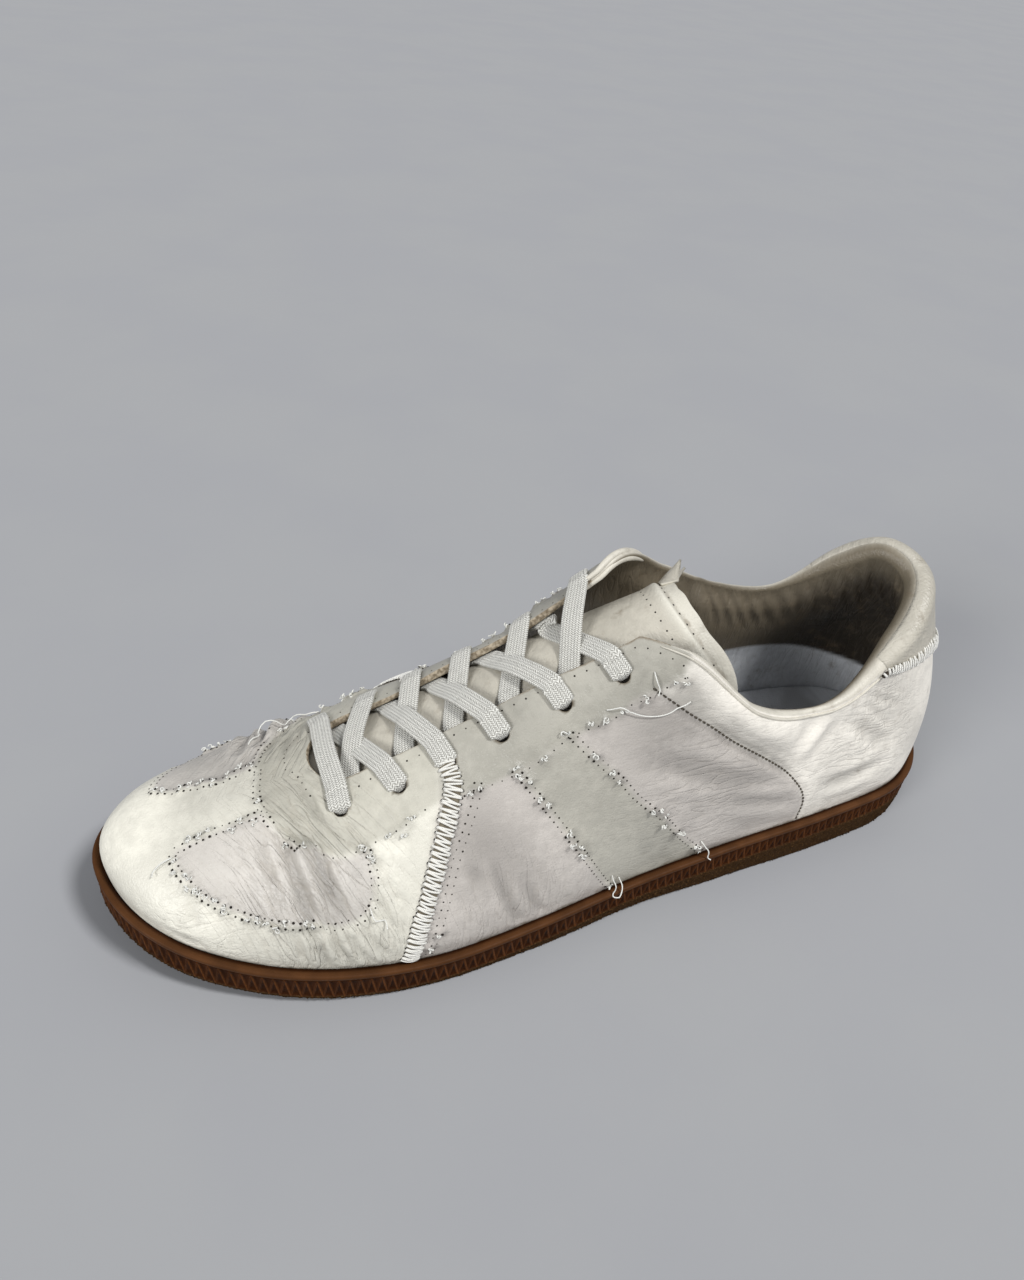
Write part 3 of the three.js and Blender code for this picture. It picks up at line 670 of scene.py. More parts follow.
@dataclass
class Workshop:
    """Turns arrays in the last's frame into pieces of the part."""

    shift: Array

    @classmethod
    def from_frame(cls, last: Last) -> Workshop:
        """Finds the last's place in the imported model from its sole."""
        low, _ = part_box("sole")
        rim, _ = last.sole_edge(np.linspace(0, ROUND, 4000))
        own = np.array([*rim.min(0), 0.0])
        return cls(np.array(low) / MM - own)

    def place(self, points: Array) -> Array:
        """Gives points in metres in the part's own frame."""
        return (points + self.shift) * MM

    def piece(
        self,
        name: str,
        bundle: Bundle,
        materials: Sequence[Material],
        replaced: Sequence[str] = (),
    ) -> Piece:
        """Makes one piece that moves with the shoe.

        Args:
            name: Its name.
            bundle: Its points and faces.
            materials: Its materials, in the order of the bundle's slot numbers.
            replaced: CAD nodes that it stands for.

        Returns:
            The new object.
        """
        mesh = bpy.data.meshes.new(name)
        points = np.concatenate(bundle.points)
        mesh.from_pydata(self.place(points).tolist(), [], bundle.faces)
        mesh.polygons.foreach_set("material_index", np.array(bundle.slots, np.int32))
        mesh.polygons.foreach_set("use_smooth", np.ones(len(bundle.faces), bool))
        for material in materials:
            mesh.materials.append(material)
        cloth = np.concatenate(bundle.cloth)
        vectors = np.column_stack([cloth, np.zeros(len(cloth))])
        Workshop.paint(mesh, "cloth", "FLOAT_VECTOR", vectors)
        mesh.update()
        made = bpy.data.objects.new(name, mesh)
        bpy.context.scene.collection.objects.link(made)
        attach(made, BODY)
        if replaced:
            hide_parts(*replaced)
        log.info("%s: %d faces", name, len(bundle.faces))
        return made

    @staticmethod
    def paint(mesh: Mesh, name: str, kind: str, values: Array) -> None:
        """Gives every vertex of a mesh a value.

        Args:
            mesh: The mesh.
            name: Name that the materials read it by.
            kind: FLOAT, FLOAT_VECTOR or FLOAT_COLOR.
            values: One value for each vertex.
        """
        field = {"FLOAT": "value", "FLOAT_VECTOR": "vector", "FLOAT_COLOR": "color"}[kind]
        layer = mesh.attributes.new(name, kind, "POINT")
        layer.data.foreach_set(field, np.ascontiguousarray(values, np.float32).ravel())

    @staticmethod
    def paint_leather(
        mesh: Mesh, tint: Array | Colour, grime: Array | float, across: Array | float, along: Array | float
    ) -> None:
        """Paints what the leather finish reads on every vertex.

        Args:
            mesh: The mesh.
            tint: Base colour.
            grime: How dirty it is.
            across: How many thin creases cross the foot.
            along: How many run along the foot.
        """
        count = len(mesh.vertices)
        Workshop.paint(mesh, "tint", "FLOAT_COLOR", np.broadcast_to(tint, (count, 4)))
        for name, values in (("grime", grime), ("flex_across", across), ("flex_along", along)):
            Workshop.paint(mesh, name, "FLOAT", np.broadcast_to(values, count))


class Graph:
    """Adds and links the nodes of one shader tree."""

    def __init__(self, tree: Tree) -> None:
        """Keeps the tree."""
        self.tree = tree

    def feed(self, socket: Socket, value: Feed) -> None:
        """Links a socket to another one, or sets its own value."""
        if isinstance(value, Socket):
            self.tree.links.new(value, socket)
        else:
            socket.default_value = value

    def add(self, kind: str, inputs: dict[str | int, Feed] | None = None, **settings: object) -> Node:
        """Adds a node.

        Args:
            kind: Type of the node.
            inputs: What goes into its sockets, by name or number.
            **settings: Its properties.

        Returns:
            The node.
        """
        node = self.tree.nodes.new(kind)
        for name, value in settings.items():
            setattr(node, name, value)
        for name, value in (inputs or {}).items():
            self.feed(node.inputs[name], value)
        return node

    def math(self, operation: str, first: Feed, second: Feed = 0.0, third: Feed = 0.0) -> Socket:
        """Gives the result of a sum on numbers."""
        values = {0: first, 1: second, 2: third}
        return self.add("ShaderNodeMath", values, operation=operation).outputs[0]

    def span(self, value: Feed, low: float, high: float, to_low: float, to_high: float) -> Socket:
        """Gives a number carried smoothly from one span to another."""
        values = {"Value": value, 1: low, 2: high, 3: to_low, 4: to_high}
        return self.add("ShaderNodeMapRange", values, interpolation_type="SMOOTHSTEP").outputs[0]

    def scaled(self, vector: Feed, factors: Sequence[float]) -> Socket:
        """Gives a vector with each axis multiplied."""
        return self.add("ShaderNodeVectorMath", {0: vector, 1: factors}, operation="MULTIPLY").outputs[0]

    def noise(self, vector: Feed, scale: float, detail: float = 3.0, distortion: float = 0.0) -> Socket:
        """Gives soft noise from 0 to 1."""
        values = {"Vector": vector, "Scale": scale, "Detail": detail, "Distortion": distortion}
        return self.add("ShaderNodeTexNoise", values).outputs[0]

    def mix(self, factor: Feed, first: Feed, second: Feed, blend: str = "MIX") -> Socket:
        """Gives a mix of two colours."""
        node = self.add("ShaderNodeMix", data_type="RGBA", blend_type=blend)
        for name, value in (("Factor_Float", factor), ("A_Color", first), ("B_Color", second)):
            socket = next(s for s in node.inputs if s.identifier == name)
            self.feed(socket, value)
        return next(s for s in node.outputs if s.identifier == "Result_Color")

    def grey(self, value: Feed) -> Socket:
        """Gives a grey of that brightness."""
        return self.add("ShaderNodeCombineColor", {0: value, 1: value, 2: value}).outputs[0]

    def attribute(self, name: str, output: str) -> Socket:
        """Gives a value painted on the vertices."""
        return self.add("ShaderNodeAttribute", attribute_name=name).outputs[output]


# Thin wrinkles: how they lean back to the sides, waves for each millimetre along and across them, how far
# they wander, how much finer the second set is, edge and strength of both sets, depths of lines and swells.
FLEX_SLANT = 0.6
FLEX_PITCH = (0.06, 0.3)
FLEX_WANDER = 0.7
FLEX_FINER = 2.1
FLEX_EDGES = ((0.045, 0.65), (0.07, 0.4))
FLEX_CUT = 0.7
FLEX_SWELL = 4.0
# Turn width of the woven ribs in pitches, and the slant of the ribs.
WEAVE_TURN = 1.4
WEAVE_SLANT = 0.8


class Effects:
    """Shader groups that several finishes share."""

    def __init__(self) -> None:
        """Builds each group once."""
        place = {"Position": 0}
        self.grain = self.group("leather_grain", place | {"Size": 1}, ("Height", "Tone"), self.grain_nodes)
        bends = place | {"Across": 1, "Along": 1}
        self.flex = self.group("flex_lines", bends, ("Height", "Lines"), self.flex_nodes)
        self.grime = self.group("grime", place | {"Amount": 1, "Scale": 1}, ("Mask",), self.grime_nodes)
        cloth = {"Cloth": 0, "Pitch": 1}
        self.weave = self.group("twill_weave", cloth, ("Height", "Shade"), self.weave_nodes)

    @staticmethod
    def group(
        name: str,
        inputs: dict[str, int],
        outputs: Sequence[str],
        fill: Callable[[Graph, Node, Node], None],
    ) -> Tree:
        """Makes a shader group.

        Args:
            name: Its name.
            inputs: Its inputs, 0 for a vector and 1 for a number.
            outputs: Its outputs, all numbers.
            fill: Adds its nodes.

        Returns:
            The group.
        """
        tree = bpy.data.node_groups.new(name, "ShaderNodeTree")
        kinds = ("NodeSocketVector", "NodeSocketFloat")
        for title, kind in inputs.items():
            tree.interface.new_socket(title, in_out="INPUT", socket_type=kinds[kind])
        for title in outputs:
            tree.interface.new_socket(title, in_out="OUTPUT", socket_type="NodeSocketFloat")
        graph = Graph(tree)
        fill(graph, graph.add("NodeGroupInput"), graph.add("NodeGroupOutput"))
        return tree

    @staticmethod
    def grain_nodes(graph: Graph, start: Node, end: Node) -> None:
        """Fills the grain group: small pebbles and pores, and slow patches of tone."""
        position = start.outputs["Position"]
        finer = graph.math("DIVIDE", 1.0, start.outputs["Size"])
        cells = {"Vector": position, "Scale": finer, "Randomness": 1.0}
        pebbles = graph.add("ShaderNodeTexVoronoi", cells, feature="SMOOTH_F1")
        creased = graph.noise(position, 1.2, 5.0, 0.8)
        height = graph.math("MULTIPLY_ADD", pebbles.outputs["Distance"], -0.6, creased)
        graph.feed(end.inputs["Height"], height)
        slow = graph.noise(position, 0.045, 4.0, 0.4)
        fine = graph.noise(position, 0.35, 3.0)
        tone = graph.math("MULTIPLY_ADD", fine, 0.35, graph.math("MULTIPLY", slow, 0.65))
        graph.feed(end.inputs["Tone"], graph.span(tone, 0.34, 0.66, 0.0, 1.0))

    @staticmethod
    def flex_nodes(graph: Graph, start: Node, end: Node) -> None:
        """Fills the crease group: long thin wrinkles that run across or along the foot."""
        position = start.outputs["Position"]
        axes = graph.add("ShaderNodeSeparateXYZ", {0: position}).outputs
        slanted = graph.math("MULTIPLY_ADD", graph.math("ABSOLUTE", axes["Y"]), FLEX_SLANT, axes["X"])
        leaning = graph.add("ShaderNodeCombineXYZ", {0: slanted, 1: axes["Y"], 2: axes["Z"]}).outputs[0]
        lines = swells = 0.0
        for amount, place, ways in (("Across", leaning, (1, 0, 0)), ("Along", position, (0, 1, 1))):
            shown = start.outputs[amount]
            stretch = [FLEX_PITCH[way] for way in ways]
            broad = graph.noise(graph.scaled(place, stretch), 1.0, 1.0, FLEX_WANDER)
            finer = graph.scaled(place, [FLEX_FINER * v for v in stretch])
            thin = graph.noise(finer, 1.0, 1.5, FLEX_WANDER)
            for noise, (edge, share) in zip((broad, thin), FLEX_EDGES):
                off = graph.math("ABSOLUTE", graph.math("SUBTRACT", noise, 0.5))
                line = graph.math("MULTIPLY", graph.span(off, 0.0, edge, share, 0.0), shown)
                lines = graph.math("ADD", line, lines)
            swell = graph.math("ABSOLUTE", graph.math("SUBTRACT", broad, 0.5))
            swells = graph.math("ADD", graph.math("MULTIPLY", swell, shown), swells)
        cut = graph.math("MULTIPLY", lines, -FLEX_CUT)
        graph.feed(end.inputs["Height"], graph.math("MULTIPLY_ADD", swells, FLEX_SWELL, cut))
        graph.feed(end.inputs["Lines"], graph.math("MINIMUM", lines, 1.0))

    @staticmethod
    def grime_nodes(graph: Graph, start: Node, end: Node) -> None:
        """Fills the grime group: patchy dirt that grows with its amount."""
        position = start.outputs["Position"]
        cloud = graph.add(
            "ShaderNodeTexNoise",
            {"Vector": position, "Scale": start.outputs["Scale"], "Detail": 6.0, "Roughness": 0.65},
        ).outputs[0]
        level = graph.math("MULTIPLY_ADD", start.outputs["Amount"], 0.62, graph.math("SUBTRACT", cloud, 0.72))
        graph.feed(end.inputs["Mask"], graph.span(level, 0.0, 0.34, 0.0, 1.0))

    @staticmethod
    def weave_nodes(graph: Graph, start: Node, end: Node) -> None:
        """Fills the weave group: twill ribs that turn back at regular widths, as on a woven lace."""
        parts = graph.add("ShaderNodeSeparateXYZ", {0: start.outputs["Cloth"]})
        pitch = start.outputs["Pitch"]
        run = graph.math("DIVIDE", parts.outputs["X"], pitch)
        width = graph.math("DIVIDE", parts.outputs["Y"], pitch)
        turned = graph.math("PINGPONG", width, WEAVE_TURN)
        slanted = graph.math("MULTIPLY_ADD", turned, WEAVE_SLANT, run)
        rib = graph.math("SINE", graph.math("MULTIPLY", slanted, 2 * math.pi))
        cord = graph.math("COSINE", graph.math("MULTIPLY", width, 2 * math.pi / WEAVE_TURN))
        height = graph.math("MULTIPLY_ADD", cord, 0.45, rib)
        graph.feed(end.inputs["Height"], graph.span(height, -1.2, 1.2, 0.0, 1.0))
        graph.feed(end.inputs["Shade"], graph.span(height, -1.4, 0.2, 0.0, 1.0))


class Finish:
    """A material under construction: its tree, its shader and the position on the shoe in millimetres."""

    def __init__(self, name: str, effects: Effects) -> None:
        """Starts a material with a bare shader."""
        self.effects = effects
        self.material = bpy.data.materials.new(name)
        self.material.use_nodes = True
        tree = self.material.node_tree
        tree.nodes.clear()
        self.graph = Graph(tree)
        self.shader = self.graph.add("ShaderNodeBsdfPrincipled")
        end = self.graph.add("ShaderNodeOutputMaterial")
        tree.links.new(self.shader.outputs["BSDF"], end.inputs["Surface"])
        coordinates = self.graph.add("ShaderNodeTexCoord").outputs["Object"]
        self.position = self.graph.scaled(coordinates, [1 / MM] * 3)

    def filled(self, group: Tree, inputs: dict[str, Feed]) -> Node:
        """Places a shared group and feeds its inputs."""
        node = self.graph.add("ShaderNodeGroup", node_tree=group)
        for name, value in inputs.items():
            self.graph.feed(node.inputs[name], value)
        return node

    def bump(self, height: Feed, depth: float, under: Feed | None = None) -> Socket:
        """Adds relief of a real depth.

        Args:
            height: Height from 0 to 1.
            depth: What a height of 1 stands for, in millimetres.
            under: Normal of the relief below it.

        Returns:
            The bent normal.
        """
        node = self.graph.add("ShaderNodeBump", {"Strength": 1.0, "Distance": depth * MM, "Height": height})
        if under is not None:
            self.graph.feed(node.inputs["Normal"], under)
        return node.outputs["Normal"]

    def set(self, **values: Feed) -> None:
        """Feeds the shader's own sockets, with underscores for the spaces in their names."""
        for name, value in values.items():
            self.graph.feed(self.shader.inputs[name.replace("_", " ")], value)


@dataclass(frozen=True)
class LeatherFinish:
    """Worn leather whose base colour is painted on the vertices."""

    name: str
    rough: tuple[float, float] = (0.36, 0.52)
    grain_size: float = 0.62
    grain_depth: float = 0.15
    flex_depth: float = 0.3
    tone: tuple[float, float] = (0.9, 1.05)
    grime_colour: Colour = srgb(112, 98, 78)
    grime_scale: float = 0.16
    grime_share: float = 0.75
    crease_colour: Colour = srgb(140, 128, 110)
    crease_share: float = 0.22

    def material(self, effects: Effects) -> Material:
        """Builds the material."""
        finish = Finish(self.name, effects)
        graph = finish.graph
        grain = finish.filled(effects.grain, {"Position": finish.position, "Size": self.grain_size})
        flex = finish.filled(
            effects.flex,
            {
                "Position": finish.position,
                "Across": graph.attribute("flex_across", "Fac"),
                "Along": graph.attribute("flex_along", "Fac"),
            },
        )
        grime = finish.filled(
            effects.grime,
            {
                "Position": finish.position,
                "Amount": graph.attribute("grime", "Fac"),
                "Scale": self.grime_scale,
            },
        ).outputs["Mask"]
        tone = grain.outputs["Tone"]
        shade = graph.grey(graph.span(tone, 0.0, 1.0, *self.tone))
        base = graph.mix(1.0, graph.attribute("tint", "Color"), shade, "MULTIPLY")
        lines = graph.math("MULTIPLY", flex.outputs["Lines"], self.crease_share)
        folded = graph.mix(lines, base, self.crease_colour)
        soiled = graph.mix(graph.math("MULTIPLY", grime, self.grime_share), folded, self.grime_colour)
        gloss = graph.span(tone, 0.0, 1.0, *self.rough)
        folds = finish.bump(flex.outputs["Height"], self.flex_depth)
        relief = finish.bump(grain.outputs["Height"], self.grain_depth, folds)
        finish.set(
            Base_Color=soiled,
            Roughness=graph.math("MULTIPLY_ADD", grime, 0.2, gloss),
            Normal=relief,
            Specular_IOR_Level=0.42,
        )
        return finish.material


@dataclass(frozen=True)
class CottonFinish:
    """Woven or twisted cotton."""

    name: str
    colour: Colour
    shadow: Colour
    pitch: float = 0.9
    depth: float = 0.22
    soil: float = 0.35

    def material(self, effects: Effects) -> Material:
        """Builds the material."""
        finish = Finish(self.name, effects)
        graph = finish.graph
        cloth = graph.attribute("cloth", "Vector")
        weave = finish.filled(effects.weave, {"Cloth": cloth, "Pitch": self.pitch})
        grime = finish.filled(
            effects.grime, {"Position": finish.position, "Amount": self.soil, "Scale": 0.3}
        ).outputs["Mask"]
        base = graph.mix(weave.outputs["Shade"], self.shadow, self.colour)
        soiled = graph.mix(graph.math("MULTIPLY", grime, 0.5), base, self.shadow)
        fuzz = graph.noise(finish.position, 9.0, 2.0)
        ribs = finish.bump(weave.outputs["Height"], self.depth)
        finish.set(
            Base_Color=soiled,
            Roughness=graph.span(fuzz, 0.3, 0.7, 0.82, 0.95),
            Normal=finish.bump(fuzz, 0.08, ribs),
            Specular_IOR_Level=0.25,
            Sheen_Weight=0.25,
            Sheen_Roughness=0.6,
        )
        return finish.material


@dataclass(frozen=True)
class GumFinish:
    """Moulded gum rubber: a smooth lip, a ribbed band with a painted highlight on its ribs, and a rough
    crumbly wall.
    """

    name: str
    lip: Colour = srgb(78, 49, 27)
    band: Colour = srgb(52, 26, 8)
    # Painted highlight on the rib crests.
    ridge: Colour = srgb(98, 57, 23)
    crumb: Colour = srgb(56, 38, 20)
    speck: Colour = srgb(96, 70, 40)

    def material(self, effects: Effects) -> Material:
        """Builds the material."""
        finish = Finish(self.name, effects)
        graph = finish.graph
        zone = graph.attribute("zone", "Fac")
        rough = graph.span(zone, 1.4, 1.9, 0.0, 1.0)
        ribbed = graph.span(zone, 0.3, 0.8, 0.0, 1.0)
        cloud = graph.noise(finish.position, 0.12, 4.0)
        # The ridge colour is a painted highlight on the rib crests.
        ribs = graph.mix(graph.attribute("ridge", "Fac"), self.band, self.ridge)
        smooth = graph.mix(ribbed, self.lip, ribs)
        shade = graph.grey(graph.span(cloud, 0.3, 0.7, 0.8, 1.15))
        body = graph.mix(1.0, smooth, shade, "MULTIPLY")
        grit = graph.noise(finish.position, 1.7, 3.0)
        specks = graph.span(grit, 0.56, 0.68, 0.0, 0.8)
        crumbs = graph.mix(specks, self.crumb, self.speck)
        dust = finish.filled(effects.grime, {"Position": finish.position, "Amount": 0.55, "Scale": 0.25})
        gloss = graph.math("MULTIPLY_ADD", rough, 0.4, 0.4)
        relief = graph.math("MULTIPLY", grit, graph.math("MULTIPLY_ADD", rough, 0.9, 0.1))
        finish.set(
            Base_Color=graph.mix(rough, body, crumbs),
            Roughness=graph.math("MULTIPLY_ADD", dust.outputs["Mask"], 0.2, gloss),
            Normal=finish.bump(relief, 0.5),
            Specular_IOR_Level=0.06,
        )
        return finish.material


@dataclass(frozen=True)
class BoardFinish:
    """Thin cloth glued on the foot bed, polished by wear."""

    name: str
    colour: Colour = srgb(228, 231, 235)
    worn: Colour = srgb(180, 181, 183)

    def material(self, effects: Effects) -> Material:
        """Builds the material."""
        finish = Finish(self.name, effects)
        graph = finish.graph
        cloth = graph.scaled(finish.position, (1.0, 1.0, 0.0))
        weave = finish.filled(effects.weave, {"Cloth": cloth, "Pitch": 0.8})
        cloud = graph.noise(finish.position, 0.05, 4.0, 0.5)
        base = graph.mix(graph.span(cloud, 0.35, 0.65, 0.0, 1.0), self.worn, self.colour)
        finish.set(
            Base_Color=graph.mix(graph.math("MULTIPLY", weave.outputs["Shade"], 0.2), base, self.colour),
            Roughness=graph.span(cloud, 0.3, 0.7, 0.5, 0.36),
            Normal=finish.bump(weave.outputs["Height"], 0.06),
            Specular_IOR_Level=0.5,
        )
        return finish.material


@dataclass(frozen=True)
class PlainFinish:
    """A dull finish of one colour with slow and fine changes, for holes, raw edges and the floor."""

    name: str
    colour: Colour
    other: Colour
    scale: float = 0.8
    rough: tuple[float, float] = (0.8, 0.95)
    depth: float = 0.1

    def material(self, effects: Effects) -> Material:
        """Builds the material."""
        finish = Finish(self.name, effects)
        graph = finish.graph
        cloud = graph.noise(finish.position, self.scale, 5.0)
        finish.set(
            Base_Color=graph.mix(graph.span(cloud, 0.35, 0.65, 0.0, 1.0), self.colour, self.other),
            Roughness=graph.span(cloud, 0.3, 0.7, *self.rough),
            Normal=finish.bump(cloud, self.depth),
            Specular_IOR_Level=0.3,
        )
        return finish.material


CREAM = srgb(226, 223, 210)
FACING = srgb(190, 187, 174)
WINDOW_GREY = srgb(206, 201, 193)
QUARTER_GREY = srgb(195, 189, 182)
STRIPE_CREAM = srgb(178, 175, 164)
EYESTAY_BEIGE = srgb(172, 169, 158)
HEEL_WHITE = srgb(234, 229, 219)
PIPING_CREAM = srgb(208, 203, 190)
TAB_CREAM = srgb(188, 183, 170)
TONGUE_BEIGE = srgb(186, 181, 168)
LINING_TOP = srgb(116, 107, 90)
LINING_BROWN = srgb(118, 108, 91)
# Colour that the lining darkens to toward the heel.
LINING_HEEL_DARK = srgb(26, 20, 14)
LINING_GREY = srgb(224, 227, 231)
HOLE_SOIL = srgb(92, 82, 66)
# Height of the seam where the padded leather lining ends above the grey cloth, over the length.
LINING_SEAM = ((0, 32), (20, 36), (45, 42), (70, 44), (140, 46))

# Panels of the outer side. Where an overlay was cut off, the leather under it kept another colour.
SEAM_ROUTE = ((7.28, 0.01), (7.17, 0.29), (6.99, 0.57), (6.91, 0.7), (6.88, 0.79), (6.95, 0.885))
HEEL_SEAM_ROUTE = (
    (5.2, 0.83), (4.82, 0.785), (4.38, 0.772), (3.99, 0.723), (3.65, 0.583), (3.46, 0.415), (3.36, 0.242),
    (3.34, 0.02),
)
STRIPE_FRONT = ((6.38, 0.73), (6.17, 0.6), (5.93, 0.458), (5.64, 0.278), (5.29, 0.02))
STRIPE_BACK = ((5.92, 0.763), (5.63, 0.62), (5.3, 0.478), (4.86, 0.323), (4.37, 0.048))
WINDOW_LOW = (
    (9.64, 0.44), (9.08, 0.37), (8.36, 0.33), (7.89, 0.352), (7.64, 0.413), (7.58, 0.54), (7.62, 0.667),
)
INNER_WINDOW_LOW = (
    (12.75, 0.72), (13.0, 0.62), (13.8, 0.5), (14.92, 0.37), (15.64, 0.33), (16.1, 0.352), (16.4, 0.413),
    (16.42, 0.54), (16.38, 0.667),
)
WINDOW = (
    (10.36, 0.628), (10.19, 0.557), *WINDOW_LOW, (7.9, 0.66), (8.31, 0.64), (8.64, 0.733), (8.84, 0.8),
    (9.25, 0.775), (9.69, 0.745),
)
INNER_WINDOW = (
    *INNER_WINDOW_LOW, (15.73, 0.638), (15.4, 0.76), (15.12, 0.88), (14.9, 0.965), (14.4, 0.98), (13.6, 0.98),
    (13.0, 0.9),
)
QUARTER = (
    (7.35, -0.05), (7.23, 0.305), (7.09, 0.542), (6.99, 0.748), (6.98, 1.01), (4.9, 1.01),
    *HEEL_SEAM_ROUTE[:-1], (3.34, -0.05),
)
STRIPE = (*STRIPE_FRONT, (5.2, -0.05), (4.25, -0.05), *STRIPE_BACK[::-1], (6.07, 0.73), (6.25, 0.71))
EYESTAY = (
    (6.99, 0.748), (6.66, 0.718), (6.25, 0.71), (5.88, 0.755), (5.49, 0.748), (5.2, 0.82), (4.94, 0.905),
    (4.9, 1.01), (6.99, 1.01),
)
FRONT_FACING = (
    (6.99, 0.748), (7.34, 0.703), (7.69, 0.682), (8.31, 0.64), (8.64, 0.733), (8.96, 0.87), (9.05, 1.01),
    (6.99, 1.01),
)
INNER_FACING = (
    (17.0, 0.748), (16.65, 0.7), (16.3, 0.68), (15.73, 0.638), (15.4, 0.76), (15.08, 0.895), (14.95, 1.01),
    (17.0, 1.01),
)


@dataclass(frozen=True)
class Crease:
    """A soft trough or ridge in the leather.

    Attributes:
        route: Places that it runs through.
        width: How wide it is.
        depth: How deep it sinks, or below 0 how high it rises.
        shoulder: Share of the depth that stands up on both sides of it.
    """

    route: Route
    width: float
    depth: float
    shoulder: float = 0.4


CREASES = (
    Crease(((8.93, 0.743), (8.64, 0.532), (8.5, 0.37)), 1.8, 1.2, 0.6),
    Crease(((8.6, 0.72), (8.37, 0.497), (8.2, 0.3)), 2.0, 1.3, 0.7),
    Crease(((8.2, 0.7), (8.01, 0.532), (7.85, 0.37)), 1.7, 1.0, 0.6),
    Crease(((8.3, 0.93), (8.1, 0.765), (7.97, 0.69)), 1.2, 0.45),
    Crease(((8.18, 0.865), (8.02, 0.805), (7.88, 0.743)), 1.0, 0.35),
    Crease(((8.51, 0.85), (8.29, 0.695), (8.18, 0.56)), 1.3, 0.4),
    Crease(((8.25, 0.328), (8.17, 0.18), (8.08, 0.028)), 1.3, 0.5),
    Crease(((8.05, 0.318), (7.93, 0.18), (7.82, 0.04)), 1.2, 0.45),
    Crease(((7.9, 0.325), (7.78, 0.2), (7.65, 0.06)), 1.1, 0.4),
    Crease(((7.7, 0.315), (7.58, 0.2), (7.45, 0.085)), 1.2, 0.45),
    Crease(((9.72, 0.435), (9.66, 0.33), (9.57, 0.235)), 1.5, 0.3),
    Crease(((10.1, 0.12), (9.8, 0.1), (9.5, 0.11)), 1.3, 0.25),
    Crease(((7.61, 0.492), (7.48, 0.37), (7.36, 0.27)), 1.3, 0.4),
    Crease(((7.49, 0.527), (7.4, 0.45), (7.3, 0.388)), 1.1, 0.3),
    Crease(((7.77, 0.753), (7.63, 0.66), (7.49, 0.57)), 1.4, 0.3),
    Crease(((6.5, 0.4), (6.28, 0.15), (6.16, 0.02)), 1.5, 0.55),
    Crease(((6.2, 0.3), (6.04, 0.12), (5.93, 0.02)), 1.3, 0.4),
    Crease(((6.72, 0.44), (6.67, 0.4), (6.62, 0.357)), 1.8, 0.4),
    Crease(
        ((5.08, 0.843), (4.84, 0.812), (4.46, 0.795), (4.06, 0.758), (3.75, 0.67), (3.43, 0.485)),
        3.6, 1.1, 0.0,
    ),
    Crease(((4.98, 0.87), (4.85, 0.85), (4.7, 0.838)), 5.0, 1.0, 0.0),
    Crease(((5.1, 0.57), (4.35, 0.545), (3.71, 0.45)), 3.4, 0.75),
    Crease(((4.3, 0.42), (3.8, 0.31), (3.49, 0.22)), 2.8, 0.5),
    Crease(((4.6, 0.93), (3.96, 0.905), (3.4, 0.855)), 6.5, -1.4, 0.0),
    Crease(((2.99, 0.948), (3.22, 0.82), (3.43, 0.655)), 2.6, -0.6),
    Crease(((2.31, 0.9), (2.1, 0.78), (1.85, 0.642)), 1.2, 0.35),
    Crease(((2.43, 0.863), (2.3, 0.73), (2.18, 0.588)), 1.2, 0.3),
    Crease(((3.12, 0.295), (2.8, 0.275), (2.41, 0.3)), 2.8, 0.7),
    Crease(((2.7, 0.83), (2.5, 0.64), (2.32, 0.443)), 2.6, 0.5),
)


@dataclass(frozen=True)
class Patch:
    """A round patch of wear and painted shade on the leather.

    Attributes:
        place: Its middle.
        radius: Its reach.
        grime: How dirty it is.
        across: How many thin creases cross the foot there.
        along: How many run along the foot.
        shade: How much painted shade darkens the leather.
    """

    place: Place
    radius: float
    grime: float = 0.0
    across: float = 0.0
    along: float = 0.0
    shade: float = 0.0


# The shade of a patch is painted shade, laid where folds and seams shade the leather.
PATCHES = (
    Patch((8.3, 0.5), 24, across=1.0),
    Patch((8.0, 0.45), 15, shade=0.1),
    Patch((7.9, 0.14), 18, across=0.9, shade=0.28),
    Patch((9.3, 0.92), 18, shade=0.18),
    Patch((6.7, 0.52), 15, shade=0.2),
    Patch((8.1, 0.82), 16, across=0.5),
    Patch((9.5, 0.12), 16, along=0.5),
    Patch((6.3, 0.15), 22, across=0.5),
    Patch((4.4, 0.5), 26, along=0.55),
    Patch((5.2, 0.68), 19, shade=0.36),
    Patch((4.7, 0.825), 7, shade=0.2),
    Patch((4.35, 0.8), 7, shade=0.26),
    Patch((4.0, 0.755), 7, shade=0.26),
    Patch((3.7, 0.64), 7, shade=0.2),
    Patch((2.3, 0.8), 16, grime=0.12, across=0.45, along=0.45),
    Patch((2.4, 0.35), 20, grime=0.16, along=0.35),
    Patch((3.2, 0.4), 16, grime=0.1, along=0.3),
    Patch((5.2, 0.95), 12, grime=0.15),
    Patch((0.6, 0.4), 22, grime=0.18),
)


@dataclass(frozen=True)
class StitchLine:
    """A line of needle holes, with the spans of it where cut thread is left.

    Attributes:
        route: Places that it runs through.
        rows: Rows of holes side by side.
        pitch: Distance from hole to hole.
        tufts: Spans of the line, as shares of its length, that keep thread ends.
        both: True where the inner side of the shoe has the same line.
    """

    route: Route
    rows: int
    pitch: float
    tufts: tuple[tuple[float, float], ...] = ()
    both: bool = True


